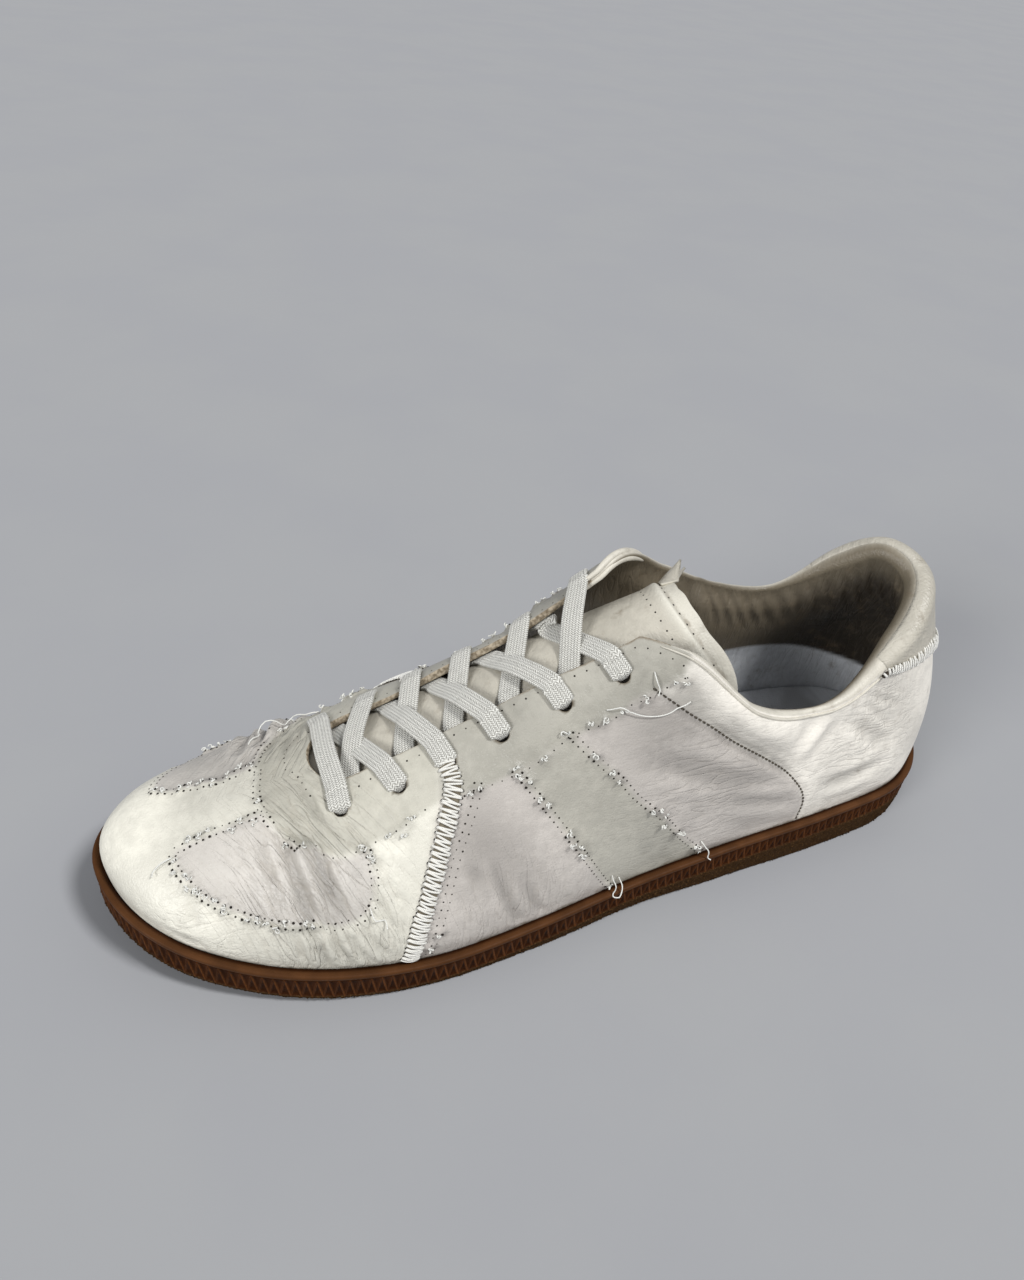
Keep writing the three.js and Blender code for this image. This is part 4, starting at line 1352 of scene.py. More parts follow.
STITCH_LINES = (
    StitchLine(
        ((8.84, 0.8), (9.25, 0.775), (9.69, 0.745), (10.2, 0.66), (10.36, 0.61), (10.19, 0.545), *WINDOW_LOW),
        2, 2.1, ((0.02, 0.09), (0.13, 0.2), (0.27, 0.46), (0.51, 0.63), (0.66, 0.7), (0.97, 1.0)), both=False,
    ),
    StitchLine(
        ((15.12, 0.88), (14.9, 0.955), (14.4, 0.975), (13.6, 0.975), (13.0, 0.9), *INNER_WINDOW_LOW),
        2, 2.1, ((0.04, 0.1), (0.13, 0.16), (0.19, 0.22), (0.25, 0.3), (0.5, 0.6), (0.7, 0.75)), both=False,
    ),
    StitchLine(
        ((9.03, 0.99), (8.96, 0.87), (8.64, 0.733), (8.31, 0.64)),
        2, 2.1, ((0.3, 0.36), (0.9, 1.0)), both=False,
    ),
    StitchLine(
        ((14.98, 0.99), (15.08, 0.895), (15.4, 0.76), (15.73, 0.638)), 2, 2.1, ((0.85, 1.0),), both=False
    ),
    StitchLine(
        ((8.31, 0.64), (7.9, 0.655), (7.69, 0.682), (7.34, 0.703), (7.12, 0.735)),
        1, 3.6, ((0.5, 0.56), (0.72, 0.92)),
    ),
    StitchLine(
        ((6.87, 0.723), (6.66, 0.718), (6.46, 0.71), (6.25, 0.71), (6.07, 0.73), (5.88, 0.755), (5.49, 0.75),
         (5.2, 0.81), (4.94, 0.905)),
        1, 3.1, ((0.06, 0.1), (0.36, 0.41), (0.6, 0.66), (0.7, 0.74), (0.82, 0.86), (0.95, 1.0)),
    ),
    StitchLine(
        ((6.68, 0.745), (6.7, 0.68), (6.77, 0.595), (6.86, 0.495), (6.94, 0.352), (7.0, 0.23), (7.08, 0.03)),
        2, 2.7, ((0.02, 0.04), (0.8, 0.84), (0.92, 0.95)),
    ),
    StitchLine(STRIPE_FRONT, 2, 2.2, ((0.0, 0.12), (0.19, 0.25), (0.45, 0.63), (0.97, 1.0))),
    StitchLine(
        STRIPE_BACK, 2, 2.2, ((0.0, 0.03), (0.12, 0.16), (0.22, 0.3), (0.5, 0.65), (0.74, 0.77), (0.95, 1.0))
    ),
    StitchLine(
        ((7.87, 0.917), (7.59, 0.945), (7.37, 0.955), (7.1, 0.955), (6.92, 0.965), (6.72, 0.97), (6.28, 0.97),
         (6.02, 0.97), (5.78, 0.97), (5.53, 0.968), (5.27, 0.962), (5.1, 0.957), (4.96, 0.945), (4.92, 0.91)),
        1, 4.0,
    ),
    StitchLine(((8.45, 0.98), (8.28, 0.94), (8.13, 0.838)), 1, 2.4, both=False),
    StitchLine(((15.55, 0.98), (15.6, 0.9), (15.84, 0.797)), 1, 2.4, both=False),
)


@dataclass
class Upper:
    """The leather upper with its lining, punched for the lace."""

    last: Last
    cell: float = 1.12
    low_rows: int = 76
    high_rows: int = 20
    high_share: float = 0.9
    lining_rows: int = 48
    rim_steps: int = 9
    collar_wall: float = 2.4
    heel_pad: float = 7.0
    heel_roll: float = 2.8
    heel_span: tuple[float, float] = (1.6, 3.2)
    collar_pad: float = 2.6
    collar_roll: float = 1.3
    cut_roll: float = 0.25
    cut_stations: tuple[float, float] = (5.1, 18.65)
    roll_blend: float = 0.35
    lining_pucker: float = 0.35
    tuft_spacing: float = 2.9
    pucker_height: float = 1.25
    pucker_radius: float = 1.5
    crease_gain: float = 2.1
    deepest: float = 1.3
    # Painted shade in the troughs, a painted highlight on raised parts, the depth where that painted shade
    # stops growing, and painted shade round the puckers.
    trough_shade: float = 0.24
    ridge_shine: float = 0.06
    shaded_depth: float = 1.2
    pucker_shade: float = 0.16
    swell: float = 0.42
    heel_from: float = 5.3
    sole_grime: tuple[float, float] = (0.5, 0.02)
    edge_grime: tuple[float, float] = (0.5, 0.985)
    least_wear: tuple[float, float, float] = (0.12, 0.06, 0.05)
    lining_wear: tuple[float, float, float] = (0.35, 0.4, 0.1)
    rim_wear: tuple[float, float, float] = (0.3, 0.1, 0.0)
    outer_collar: tuple[float, float] = (4.4, 5.4)
    inner_collar: tuple[float, float] = (19.0, 20.0)
    fold_lengths: tuple[float, float] = (6.5, 10.3)
    # How far the lining darkens toward the heel, and the length over which that fades out.
    heel_dark: float = 0.92
    heel_dark_span: tuple[float, float] = (28.0, 74.0)
    top_tone: float = 0.6
    punch_reach: float = 4.0
    punch_sides: int = 20
    soil_reach: float = 6.0
    soil_rim: float = 0.25
    vamp_seam: tuple[float, float, float] = (2.6, -0.5, 0.0)
    heel_seam: tuple[float, float, float] = (1.3, 0.8, 0.6)

    def __post_init__(self) -> None:
        """Lays out the columns and rows, and the bare and the creased skin."""
        self.front = self.last.front_station()
        self.stations = self.column_stations()
        low = np.linspace(0, self.high_share, self.low_rows, endpoint=False)
        self.shares = np.concatenate([low, np.linspace(self.high_share, 1, self.high_rows)])
        self.welded = self.weld_columns()
        self.bare = self.skin(self.last.grid(self.stations, self.shares), self.shares)
        self.lines = self.all_lines()
        self.tufts = self.tuft_places()
        self.heights = self.relief()
        risen = self.bare.points + self.heights[..., None] * self.bare.normals
        self.creased = self.skin(risen, self.shares)

    def even(self, low: float, high: float) -> Array:
        """Stations spaced evenly over the leather.

        Args:
            low: First station.
            high: Station that the next stretch starts at.

        Returns:
            The stations, without the last one.
        """
        s = np.linspace(low, high, 800)
        grid = self.last.grid(s, np.array([0.0, 1.0]))
        length = 0.5 * (run_length(grid[:, 0]) + run_length(grid[:, 1]))
        count = int(round(length[-1] / self.cell))
        return np.interp(np.arange(count) * length[-1] / count, length, s)

    def column_stations(self) -> Array:
        """Gives the stations of all columns, the toe's inner half mirrored from its outer half."""
        toe = self.even(self.front, TOE_STATION)
        inner_toe = 2 * TOE_STATION - toe[::-1]
        heel = self.even(2 * TOE_STATION - self.front, ROUND)[1:]
        return np.concatenate([self.even(0, self.front), toe, [TOE_STATION], inner_toe, heel])

    def weld_columns(self) -> Array:
        """Gives for each column the one whose top point it shares along the ridge."""
        owner = np.arange(len(self.stations))
        first = int(np.argmin(np.abs(self.stations - self.front)))
        toe = int(np.argmin(np.abs(self.stations - TOE_STATION)))
        for step in range(toe - first + 1):
            owner[toe + step] = toe - step
        return owner

    def index_grid(self, rows: int, start: int = 0) -> Array:
        """Gives vertex numbers of columns by rows, the first column repeated at the end."""
        count = len(self.stations)
        index = start + np.arange(count * rows).reshape(count, rows)
        index[:, -1] = index[self.welded, -1]
        return np.concatenate([index, index[:1]])

    def skin(self, points: Array, shares: Array) -> Skin:
        """Gives a skin with its normals."""
        index = self.index_grid(len(shares))
        normals = face_normals(points.reshape(-1, 3), grid_quads(index))[index[:-1]]
        return Skin(self.stations, shares, points, normals.reshape(points.shape))

    def all_lines(self) -> list[StitchLine]:
        """Gives the stitch lines of both sides of the shoe."""
        lines = list(STITCH_LINES)
        for line in STITCH_LINES:
            if line.both:
                route = self.last.across(line.route)
                lines.append(StitchLine(route, line.rows, line.pitch, line.tufts))
        return lines

    def tuft_places(self) -> Array:
        """Gives the points of the bare skin where cut thread stands out."""
        dice = np.random.default_rng(SEED)
        found = []
        for line in self.lines:
            trace = self.bare.trace(line.route, self.tuft_spacing * 0.5)
            for low, high in line.tufts:
                chosen = np.flatnonzero((trace.shares >= low) & (trace.shares <= high))[::2]
                jitter = dice.normal(0, 0.7, (len(chosen), 1)) * trace.sides[chosen]
                found.append(trace.points[chosen] + jitter)
        return np.concatenate(found)

    def press(self, crease: Crease, points: Array) -> Array:
        """Height that a crease gives to points of the bare skin.

        Args:
            crease: The crease.
            points: Points of the skin.

        Returns:
            The heights.
        """
        line = self.bare.trace(crease.route, 0.6)
        reach = 4 * crease.width
        low, high = line.points.min(0) - reach, line.points.max(0) + reach
        near = np.flatnonzero(np.all((points > low) & (points < high), axis=1))
        away = np.linalg.norm(points[near, None] - line.points, axis=2)
        nearest = away.argmin(1)
        gap = away.min(1) / crease.width
        taper = np.sin(np.pi * np.clip(line.shares, 0.03, 0.97)) ** 0.6
        profile = np.exp(-(gap**2)) - crease.shoulder * np.exp(-((gap - 2) ** 2))
        heights = np.zeros(len(points))
        heights[near] = -crease.depth * taper[nearest] * profile
        return heights

    def relief(self) -> Array:
        """Gives the height of creases, seams, puckers and slow waves over the bare skin."""
        points = self.bare.points.reshape(-1, 3)
        heights = np.zeros(len(points))
        for crease in CREASES:
            mirrored = Crease(self.last.across(crease.route), crease.width, crease.depth, crease.shoulder)
            heights += self.crease_gain * (self.press(crease, points) + self.press(mirrored, points))
        for seam, shape in ((SEAM_ROUTE, self.vamp_seam), (HEEL_SEAM_ROUTE, self.heel_seam)):
            for route in (seam, self.last.across(seam)):
                heights += self.press(Crease(route, *shape), points)
        for tuft in self.tufts:
            away = np.sum((points - tuft) ** 2, axis=1)
            heights += self.pucker_height * np.exp(-away / self.pucker_radius**2)
        x, y, z = points.T
        swell = np.sin(x / 11 + 1.3) * np.sin(y / 9 + z / 12) + 0.7 * np.sin(x / 6.5 - z / 8 + 0.4)
        heights += self.swell * swell
        heights = np.where(heights < 0, -self.deepest * np.tanh(-heights / self.deepest), heights)
        heights = heights.reshape(self.bare.points.shape[:2])
        return heights * smoothstep(self.shares, 0.0, 0.06)

    def panel(self, outline: Route, soft: int = 1) -> Array:
        """Softened mask of a panel on the skin's grid.

        Args:
            outline: Its corners.
            soft: How many cells its edge is softened over.

        Returns:
            The mask from 0 to 1.
        """
        mask = inside(outline, self.stations[:, None], self.shares[None, :]).astype(float)
        for _ in range(soft):
            mask = (np.roll(mask, 1, 0) + 2 * mask + np.roll(mask, -1, 0)) / 4
            padded = np.pad(mask, ((0, 0), (1, 1)), mode="edge")
            mask = (padded[:, :-2] + 2 * mask + padded[:, 2:]) / 4
        return mask

    def tint(self) -> Array:
        """Gives the base colour of every point of the skin, with painted shade in the troughs, round the
        puckers and in the shade patches, and a painted highlight on the raised parts.
        """
        colour = np.broadcast_to(np.array(CREAM), (*self.bare.points.shape[:2], 4)).copy()
        heel_half = (self.stations < self.heel_from) | (self.stations > self.last.mirrored(self.heel_from))
        colour[heel_half] = HEEL_WHITE
        panels = [(QUARTER, QUARTER_GREY), (STRIPE, STRIPE_CREAM), (EYESTAY, EYESTAY_BEIGE)]
        panels += [(self.last.across(outline), shade) for outline, shade in panels]
        panels += [(FRONT_FACING, FACING), (INNER_FACING, FACING)]
        panels += [(WINDOW, WINDOW_GREY), (INNER_WINDOW, WINDOW_GREY)]
        for outline, shade in panels:
            colour += self.panel(outline)[..., None] * (np.array(shade) - colour)
        # Painted shade in the troughs and a painted highlight on the raised parts.
        sunk = 1 - self.trough_shade * np.clip(-self.heights, 0, self.shaded_depth)
        sunk += self.ridge_shine * np.clip(self.heights, 0, 1)
        # Painted shade round the puckers at the tufts.
        for tuft in self.tufts:
            away = np.sum((self.bare.points - tuft) ** 2, axis=2)
            sunk *= 1 - self.pucker_shade * np.exp(-away / (2 * self.pucker_radius**2))
        # Painted shade of the patches.
        colour[..., :3] *= (sunk * (1 - self.wear()["shade"]))[..., None]
        return colour

    def wear(self) -> dict[str, Array]:
        """Gives grime, the two kinds of thin creases and painted shade for every point of the skin."""
        points = self.bare.points
        fields = {name: np.zeros(points.shape[:2]) for name in ("grime", "across", "along", "shade")}
        for patch in PATCHES:
            for s in (patch.place[0], self.last.mirrored(patch.place[0])):
                middle, _ = self.bare.at(np.array([s]), np.array([patch.place[1]]))
                near = np.exp(-np.sum((points - middle[0]) ** 2, axis=2) / patch.radius**2)
                for name, field in fields.items():
                    field += getattr(patch, name) * near
        for name, least in zip(("grime", "across", "along"), self.least_wear):
            fields[name] += least
        amount, reach = self.sole_grime
        fields["grime"] += amount * np.exp(-((self.shares / reach) ** 2))
        amount, start = self.edge_grime
        fields["grime"] += self.edge_kind()[:, None] * amount * smoothstep(self.shares, start, 1.0)
        return {name: np.clip(field, 0, 1) for name, field in fields.items()}

    def edge_kind(self) -> Array:
        """Gives 1 for columns that end at the cut throat edge, 0 at the collar and the ridge."""
        s = self.stations
        outer = (s > self.cut_stations[0]) & (s <= self.front)
        inner = (s >= 2 * TOE_STATION - self.front) & (s < self.cut_stations[1])
        return (outer | inner).astype(float)

    def lining_points(self) -> Array:
        """Gives the inner face: the wall's thickness, with a soft pad under the collar."""
        shares = np.linspace(0, 1, self.lining_rows)
        bare = self.skin(self.last.grid(self.stations, shares), shares)
        s = self.stations
        outer = 1 - smoothstep(s, *self.outer_collar)
        collar = np.where(s < TOE_STATION, outer, smoothstep(s, *self.inner_collar))
        wall = WALL + (self.collar_wall - WALL) * collar[:, None] * smoothstep(shares, 0.35, 0.8)
        pad = smoothstep(shares, 0.3, 0.72) * (1 - smoothstep(shares, 0.86, 1.0))
        arc = run_length(bare.points[:, -1])[:, None]
        short, long = self.fold_lengths
        folds = np.sin(2 * np.pi * (arc / short + 3 * shares))
        folds = folds + 0.6 * np.sin(2 * np.pi * (arc / long - 2 * shares))
        near_rim = smoothstep(shares, 0.68, 0.84) * (1 - smoothstep(shares, 0.93, 1.0))
        thickness = wall + collar[:, None] * (self.collar_pad * pad + self.lining_pucker * folds * near_rim)
        thickness += self.heel_pad * self.at_heel()[:, None] * smoothstep(shares, 0.5, 0.95)
        points = bare.points - thickness[..., None] * bare.normals
        points[:, 0, 2] = bare.points[:, 0, 2]
        return points

    def at_heel(self) -> Array:
        """Gives 1 for columns of the thick heel roll, fading out along the collar."""
        return 1 - smoothstep(np.minimum(self.stations, ROUND - self.stations), *self.heel_span)

    def rolls(self) -> Array:
        """Gives how high the rim rolls up over each column."""
        outer_cut, inner_cut = self.cut_stations
        s = self.stations
        outer = 1 - smoothstep(s, outer_cut - self.roll_blend, outer_cut)
        inner = smoothstep(s, inner_cut, inner_cut + self.roll_blend)
        collar = np.maximum(outer, inner)
        return self.cut_roll + (self.collar_roll - self.cut_roll) * collar + self.heel_roll * self.at_heel()

    def rim_points(self, outer: Array, inner: Array, normals: Array) -> Array:
        """Rolls the top edge over from the outer to the inner face.

        Args:
            outer: Ends of the outer face.
            inner: Ends of the inner face.
            normals: Outer normals there.

        Returns:
            Points (columns, steps, 3) between both.
        """
        run = np.roll(outer, -1, 0) - np.roll(outer, 1, 0)
        out = unit(np.cross(unit(run), normals))
        up = outer - self.creased.points[:, -3]
        out *= np.sign(np.sum(out * up, axis=1, keepdims=True))
        roll = self.rolls()[:, None]
        turn = np.pi * np.arange(1, self.rim_steps + 1) / (self.rim_steps + 1)
        steps = [outer + (inner - outer) * (1 - np.cos(a)) / 2 + out * roll * np.sin(a) for a in turn]
        return np.stack(steps, 1)

    def build(self, shop: Workshop, materials: Sequence[Material]) -> Piece:
        """Builds the upper.

        Args:
            shop: Where pieces are made.
            materials: Outer leather, cut edge and lining.

        Returns:
            The piece.
        """
        count = len(self.stations)
        sink = np.array([0, 0, CUP_DEPTH - GAP])
        outer = np.concatenate([self.creased.points[:, :1] - sink, self.creased.points], 1)
        lining = self.lining_points()
        inner = np.concatenate([lining[:, :1] - sink, lining], 1)
        rim = self.rim_points(outer[:, -1], inner[:, -1], self.creased.normals[:, -1])
        outside = self.index_grid(outer.shape[1])
        within = self.index_grid(inner.shape[1], outer.shape[0] * outer.shape[1])
        edge_start = count * (outer.shape[1] + inner.shape[1])
        edge = edge_start + np.arange(count * self.rim_steps).reshape(count, -1)
        first = int(np.argmin(np.abs(self.stations - self.front)))
        last = 2 * int(np.argmin(np.abs(self.stations - TOE_STATION))) - first
        edge[last] = edge[first]
        edge = np.concatenate([edge, edge[:1]])
        bundle = Bundle()
        faces = [(grid_quads(outside), 0), (grid_quads(within)[:, ::-1], 2)]
        rolled = np.concatenate([outside[:, -1:], edge, within[:, -1:]], 1)
        cut = self.edge_kind()
        for low, high in ((0, first), (last, count)):
            strip = grid_quads(rolled[low : high + 1])
            kind = np.repeat(cut[np.arange(low, high) % count], self.rim_steps + 1)
            faces.append((strip[kind > 0.5], 1))
            faces.append((strip[kind <= 0.5], 0))
        floor = np.stack([outside[:, 0], within[:, 0]], 1)
        faces.append((grid_quads(floor)[:, ::-1], 2))
        points = np.concatenate([outer.reshape(-1, 3), inner.reshape(-1, 3), rim.reshape(-1, 3)])
        bundle.add(points)
        for quads, slot in faces:
            bundle.join(quads, slot)
        made = shop.piece("upper_leather", bundle, materials, ["upper"])
        self.dress(made.data, inner.shape, rim.shape)
        self.punch(shop, made)
        return made

    def dress(self, mesh: Mesh, inner: tuple[int, ...], rim: tuple[int, ...]) -> None:
        """Paints panels, wear and painted shade on the vertices.

        Args:
            mesh: Mesh of the upper.
            inner: Size of the lining's grid.
            rim: Size of the rolled edge's grid.
        """
        tint = self.tint()
        wear = self.wear()
        kind = self.edge_kind()

        def joined(field: Array, lining: Array | float, edge: Array | float) -> Array:
            """Puts the values of the outer face, the lining and the rolled edge in one row."""
            full = np.concatenate([field[:, :1], field], 1)
            size = field.shape[2:]
            parts = (
                full.reshape(-1, *size),
                np.broadcast_to(lining, (*inner[:2], *size)).reshape(-1, *size),
                np.broadcast_to(edge, (*rim[:2], *size)).reshape(-1, *size),
            )
            return np.concatenate(parts)

        inward = smoothstep(np.linspace(0, 1, self.rim_steps), 0.3, 0.75)[None, :, None]
        rolled = np.array(PIPING_CREAM) + inward * (np.array(LINING_TOP) - np.array(PIPING_CREAM))
        rim_tint = np.where(kind[:, None, None] > 0.5, np.array(EYESTAY_BEIGE), rolled)
        lining = self.lining_points()
        lining = np.concatenate([lining[:, :1], lining], 1)
        leather = smoothstep(lining[..., 2] - smooth_line(LINING_SEAM, lining[..., 0]), -1, 1)
        # The lining darkens toward the heel, and fades back to LINING_TOP near the rim.
        heel_dark = self.heel_dark * (1 - smoothstep(lining[..., 0], *self.heel_dark_span))
        brown = np.array(LINING_BROWN) + heel_dark[..., None] * (np.array(LINING_HEEL_DARK) - np.array(LINING_BROWN))
        high = smoothstep(np.linspace(0, 1, self.lining_rows), 0.9, 1.0)[[0, *range(self.lining_rows)]]
        brown = brown + self.top_tone * high[None, :, None] * (np.array(LINING_TOP) - brown)
        within = np.array(LINING_GREY) + leather[..., None] * (brown - np.array(LINING_GREY))
        names = ("grime", "across", "along")
        fields = [joined(wear[name], *ends) for name, *ends in zip(names, self.lining_wear, self.rim_wear)]
        Workshop.paint_leather(mesh, joined(tint, within, rim_tint), *fields)

    def eyelets(self) -> list[Knot]:
        """Gives the middle and the outward direction of every lace hole."""
        places = np.array([self.last.eyelet(x, side) for side in Side for x in EYELET_X])
        return list(zip(*self.bare.at(places[:, 0], places[:, 1])))

    def punch(self, shop: Workshop, upper: Piece) -> None:
        """Cuts the lace holes through the wall.

        Args:
            shop: Where pieces are made.
            upper: The upper.
        """
        cutters = Bundle()
        for point, normal in self.eyelets():
            path = point + np.array([[-1.0], [1.0]]) * self.punch_reach * normal
            cutters.tubes(path[None], EYELET_RADIUS, self.punch_sides)
        mesh = bpy.data.meshes.new("punch")
        mesh.from_pydata(shop.place(np.concatenate(cutters.points)).tolist(), [], cutters.faces)
        tool = bpy.data.objects.new("punch", mesh)
        bpy.context.scene.collection.objects.link(tool)
        cut = upper.modifiers.new("lace_holes", "BOOLEAN")
        cut.object = tool
        cut.operation = "DIFFERENCE"
        cut.solver = "MANIFOLD"
        graph = bpy.context.evaluated_depsgraph_get()
        punched = bpy.data.meshes.new_from_object(upper.evaluated_get(graph))
        upper.modifiers.clear()
        upper.data = punched
        bpy.data.objects.remove(tool)
        self.soil_holes(shop, punched)

    def soil_holes(self, shop: Workshop, mesh: Mesh) -> None:
        """Darkens the walls and rims of the lace holes.

        Args:
            shop: Where pieces are made.
            mesh: The punched upper.
        """
        points = np.zeros(len(mesh.vertices) * 3, np.float32)
        mesh.vertices.foreach_get("co", points)
        points = points.reshape(-1, 3)
        layer = mesh.attributes["tint"]
        tint = np.zeros(len(points) * 4, np.float32)
        layer.data.foreach_get("color", tint)
        tint = tint.reshape(-1, 4)
        for middle, normal in self.eyelets():
            reach = (points - shop.place(middle)) / MM
            off_axis = np.linalg.norm(reach - (reach @ normal)[:, None] * normal, axis=1)
            near = np.linalg.norm(reach, axis=1) < self.soil_reach
            tint[near & (off_axis < EYELET_RADIUS + self.soil_rim)] = HOLE_SOIL
        layer.data.foreach_set("color", tint.ravel())


def ring_stations(last: Last, count: int, inset: float) -> Array:
    """Gives stations spaced evenly along the sole's rim, moved inward."""
    fine = np.linspace(0, ROUND, 3001)
    length = run_length(last.sole_edge(fine, inset)[0])
    return np.interp(np.arange(count) * length[-1] / count, length, fine)


@dataclass
class Sole:
    """The gum cup sole: lip, ribbed band, rough lower wall and tread."""

    last: Last
    ribs: int = 214
    cells: int = 8
    rough_rows: int = 8
    rib_rows: int = 10
    rib_depth: float = 0.7
    rib_inset: float = 0.2
    lip: float = 2.0
    lip_crease: float = 0.4
    least_wall: float = 1.2
    rough_share: tuple[float, float] = (0.56, 0.1)
    rough_span: tuple[float, float] = (60.0, 250.0)
    crumb: float = 0.16
    foot_rings: tuple[Place, ...] = ((1.8, 0.0), (1.1, 0.35))
    rough_inset: float = 0.7
    rough_lean: float = 0.5
    crease_inset: float = 0.55
    lip_rings: tuple[Place, ...] = (
        (0.08, 0.15), (0.0, 0.4), (0.0, 0.7), (0.12, 0.87), (0.45, 0.96), (1.0, 1.0),
    )
    toe_spring: tuple[float, float, float] = (212.0, 84.5, 11.0)
    heel_bevel: tuple[float, float] = (20.0, 3.0)
    arch: tuple[float, float, float] = (98.0, 164.0, 1.6)
    groove: tuple[float, float] = (3.0, 1.5)
    groove_span: tuple[float, float] = (0.14, 0.86)
    tread_steps: int = 20
    cup_steps: int = 8
    flat_zone: float = 1.6
    grooves: tuple[tuple[float, float, int], ...] = ((28.0, 92.0, 6), (172.0, 276.0, 9))

    def underside(self, x: Array) -> Array:
        """Gives the height of the underside over the length."""
        start, length, rise = self.toe_spring
        toe = np.clip((x - start) / length, 0, 1)
        heel = np.clip((self.heel_bevel[0] - x) / self.heel_bevel[0], 0, 1.2)
        along = np.clip((x - self.arch[0]) / (self.arch[1] - self.arch[0]), 0, 1)
        arch = self.arch[2] * np.sin(np.pi * along) ** 2
        return rise * toe**2 + self.heel_bevel[1] * heel**2 + arch

    def rows(self, x: Array) -> list[tuple[float, Array, float]]:
        """Rings of the side from the ground to the cup.

        Args:
            x: Length of the rim at each column.

        Returns:
            Inset, height and zone of each ring: zone 0 is lip, 1 ribs and 2 rough wall.
        """
        top = self.last.lip_height(x)
        foot = top - self.lip
        rib_top = foot - self.lip_crease
        ground = self.underside(x)
        lowest = ground + self.least_wall
        share = np.interp(smoothstep(x, *self.rough_span), (0, 1), self.rough_share)
        rib_foot = lowest + share * (rib_top - lowest)
        made = [(inset, ground + height, 2.0) for inset, height in self.foot_rings]
        for f in np.linspace(0, 1, self.rough_rows):
            height = (ground + 1) * (1 - f) + rib_foot * f
            made.append((self.rough_inset - self.rough_lean * f, height, 2.0))
        for f in np.linspace(0, 1, self.rib_rows + 1)[1:]:
            made.append((self.rib_inset, rib_foot * (1 - f) + rib_top * f, 1.0))
        made.append((self.crease_inset, foot - 0.1, 0.6))
        for inset, height in self.lip_rings:
            made.append((inset, foot + height * self.lip, 0.0))
        return made

    def ribs_in(self, points: Array, out: Array) -> Array:
        """Sinks the rib band into upright and hanging triangles.

        Args:
            points: Grid of the side (columns, rows, 3), changed in place.
            out: Outward directions of the columns.

        Returns:
            How near each point of the grid is to a raised rib between two triangles, which sets the painted
            highlight of the ribs.
        """
        band = slice(1 + self.rough_rows, 2 + self.rough_rows + self.rib_rows)
        f = np.linspace(0, 1, self.rib_rows + 1)[None, :]
        cell = (np.arange(len(points)) % self.cells / self.cells)[:, None]
        rise = 1 - np.abs(2 * cell - 1)
        sunk = np.clip(np.abs(f - rise) * 3.0 - 0.25, 0, 1) * np.clip(12 * np.minimum(f, 1 - f), 0, 1)
        points[:, band, :2] -= self.rib_depth * sunk[..., None] * out[:, None]
        near = np.zeros(points.shape[:2])
        # Painted highlight along the rib crests, stronger on the rising edges than on the falling ones.
        near[:, band] = np.exp(-(((f - rise) / 0.13) ** 2)) * np.where(cell < 0.5, 1.0, 0.45)
        return near

    def build(self, shop: Workshop, material: Material) -> Piece:
        """Builds the sole."""
        count = self.ribs * self.cells
        stations = ring_stations(self.last, count, 0.0)
        rim, out = self.last.sole_edge(stations)
        rows = self.rows(rim[:, 0])
        grid = np.stack([np.column_stack([rim - inset * out, height]) for inset, height, _ in rows], 1)
        rib_highlight = self.ribs_in(grid, out)
        dice = np.random.default_rng(SEED)
        rough = slice(2, 1 + self.rough_rows)
        crumbs = dice.normal(0, self.crumb, grid[:, rough].shape[:2])
        grid[:, rough, :2] += crumbs[..., None] * out[:, None]
        inside_edge = self.last.sole_edge(stations, FEATHER_INSET - GAP)[0]
        inner_top = self.last.lip_height(inside_edge[:, 0])
        cup = [np.column_stack([inside_edge, inner_top - drop]) for drop in (0.0, CUP_DEPTH)]
        grid = np.concatenate([grid, np.stack(cup, 1)], 1)
        # The cup's two rings take zone 1, the dark band colour, so the lip's top face darkens inward: painted
        # shade in the gap under the upper.
        zones = np.broadcast_to([zone for *_, zone in rows] + [1.0, 1.0], grid.shape[:2])
        index = numbered(grid)
        bundle = Bundle()
        bundle.add(grid, grid_quads(np.concatenate([index, index[:1]])))
        # Painted highlight of the ribs.
        ridge = [np.pad(rib_highlight, ((0, 0), (0, len(cup)))).reshape(-1)]
        zone = [zones.reshape(-1)]
        floors = ((index[:, 0], self.tread_steps, True), (index[:, -1], self.cup_steps, False))
        for ring, steps, down in floors:
            filled = rungs_between(grid.reshape(-1, 3), ring, steps)
            if down:
                filled[..., 2] = self.underside(filled[..., 0]) + self.tread(filled)
            bundle.fill(ring, filled, down)
            zone.append(np.full(filled.shape[0] * filled.shape[1], self.flat_zone))
            ridge.append(np.zeros(filled.shape[0] * filled.shape[1]))
        made = shop.piece("gum_sole", bundle, [material], ["sole"])
        Workshop.paint(made.data, "zone", "FLOAT", np.concatenate(zone))
        Workshop.paint(made.data, "ridge", "FLOAT", np.concatenate(ridge))
        return made

    def tread(self, points: Array) -> Array:
        """Gives how far the grooves of the tread are cut up into the underside."""
        share = np.arange(1, points.shape[1] + 1) / (points.shape[1] + 1)
        middle = (share > self.groove_span[0]) & (share < self.groove_span[1])
        depth = np.zeros(points.shape[:2])
        for low, high, count in self.grooves:
            for x in np.linspace(low, high, count):
                depth[np.abs(points[..., 0] - x) < self.groove[0] / 2] = self.groove[1]
        return depth * middle


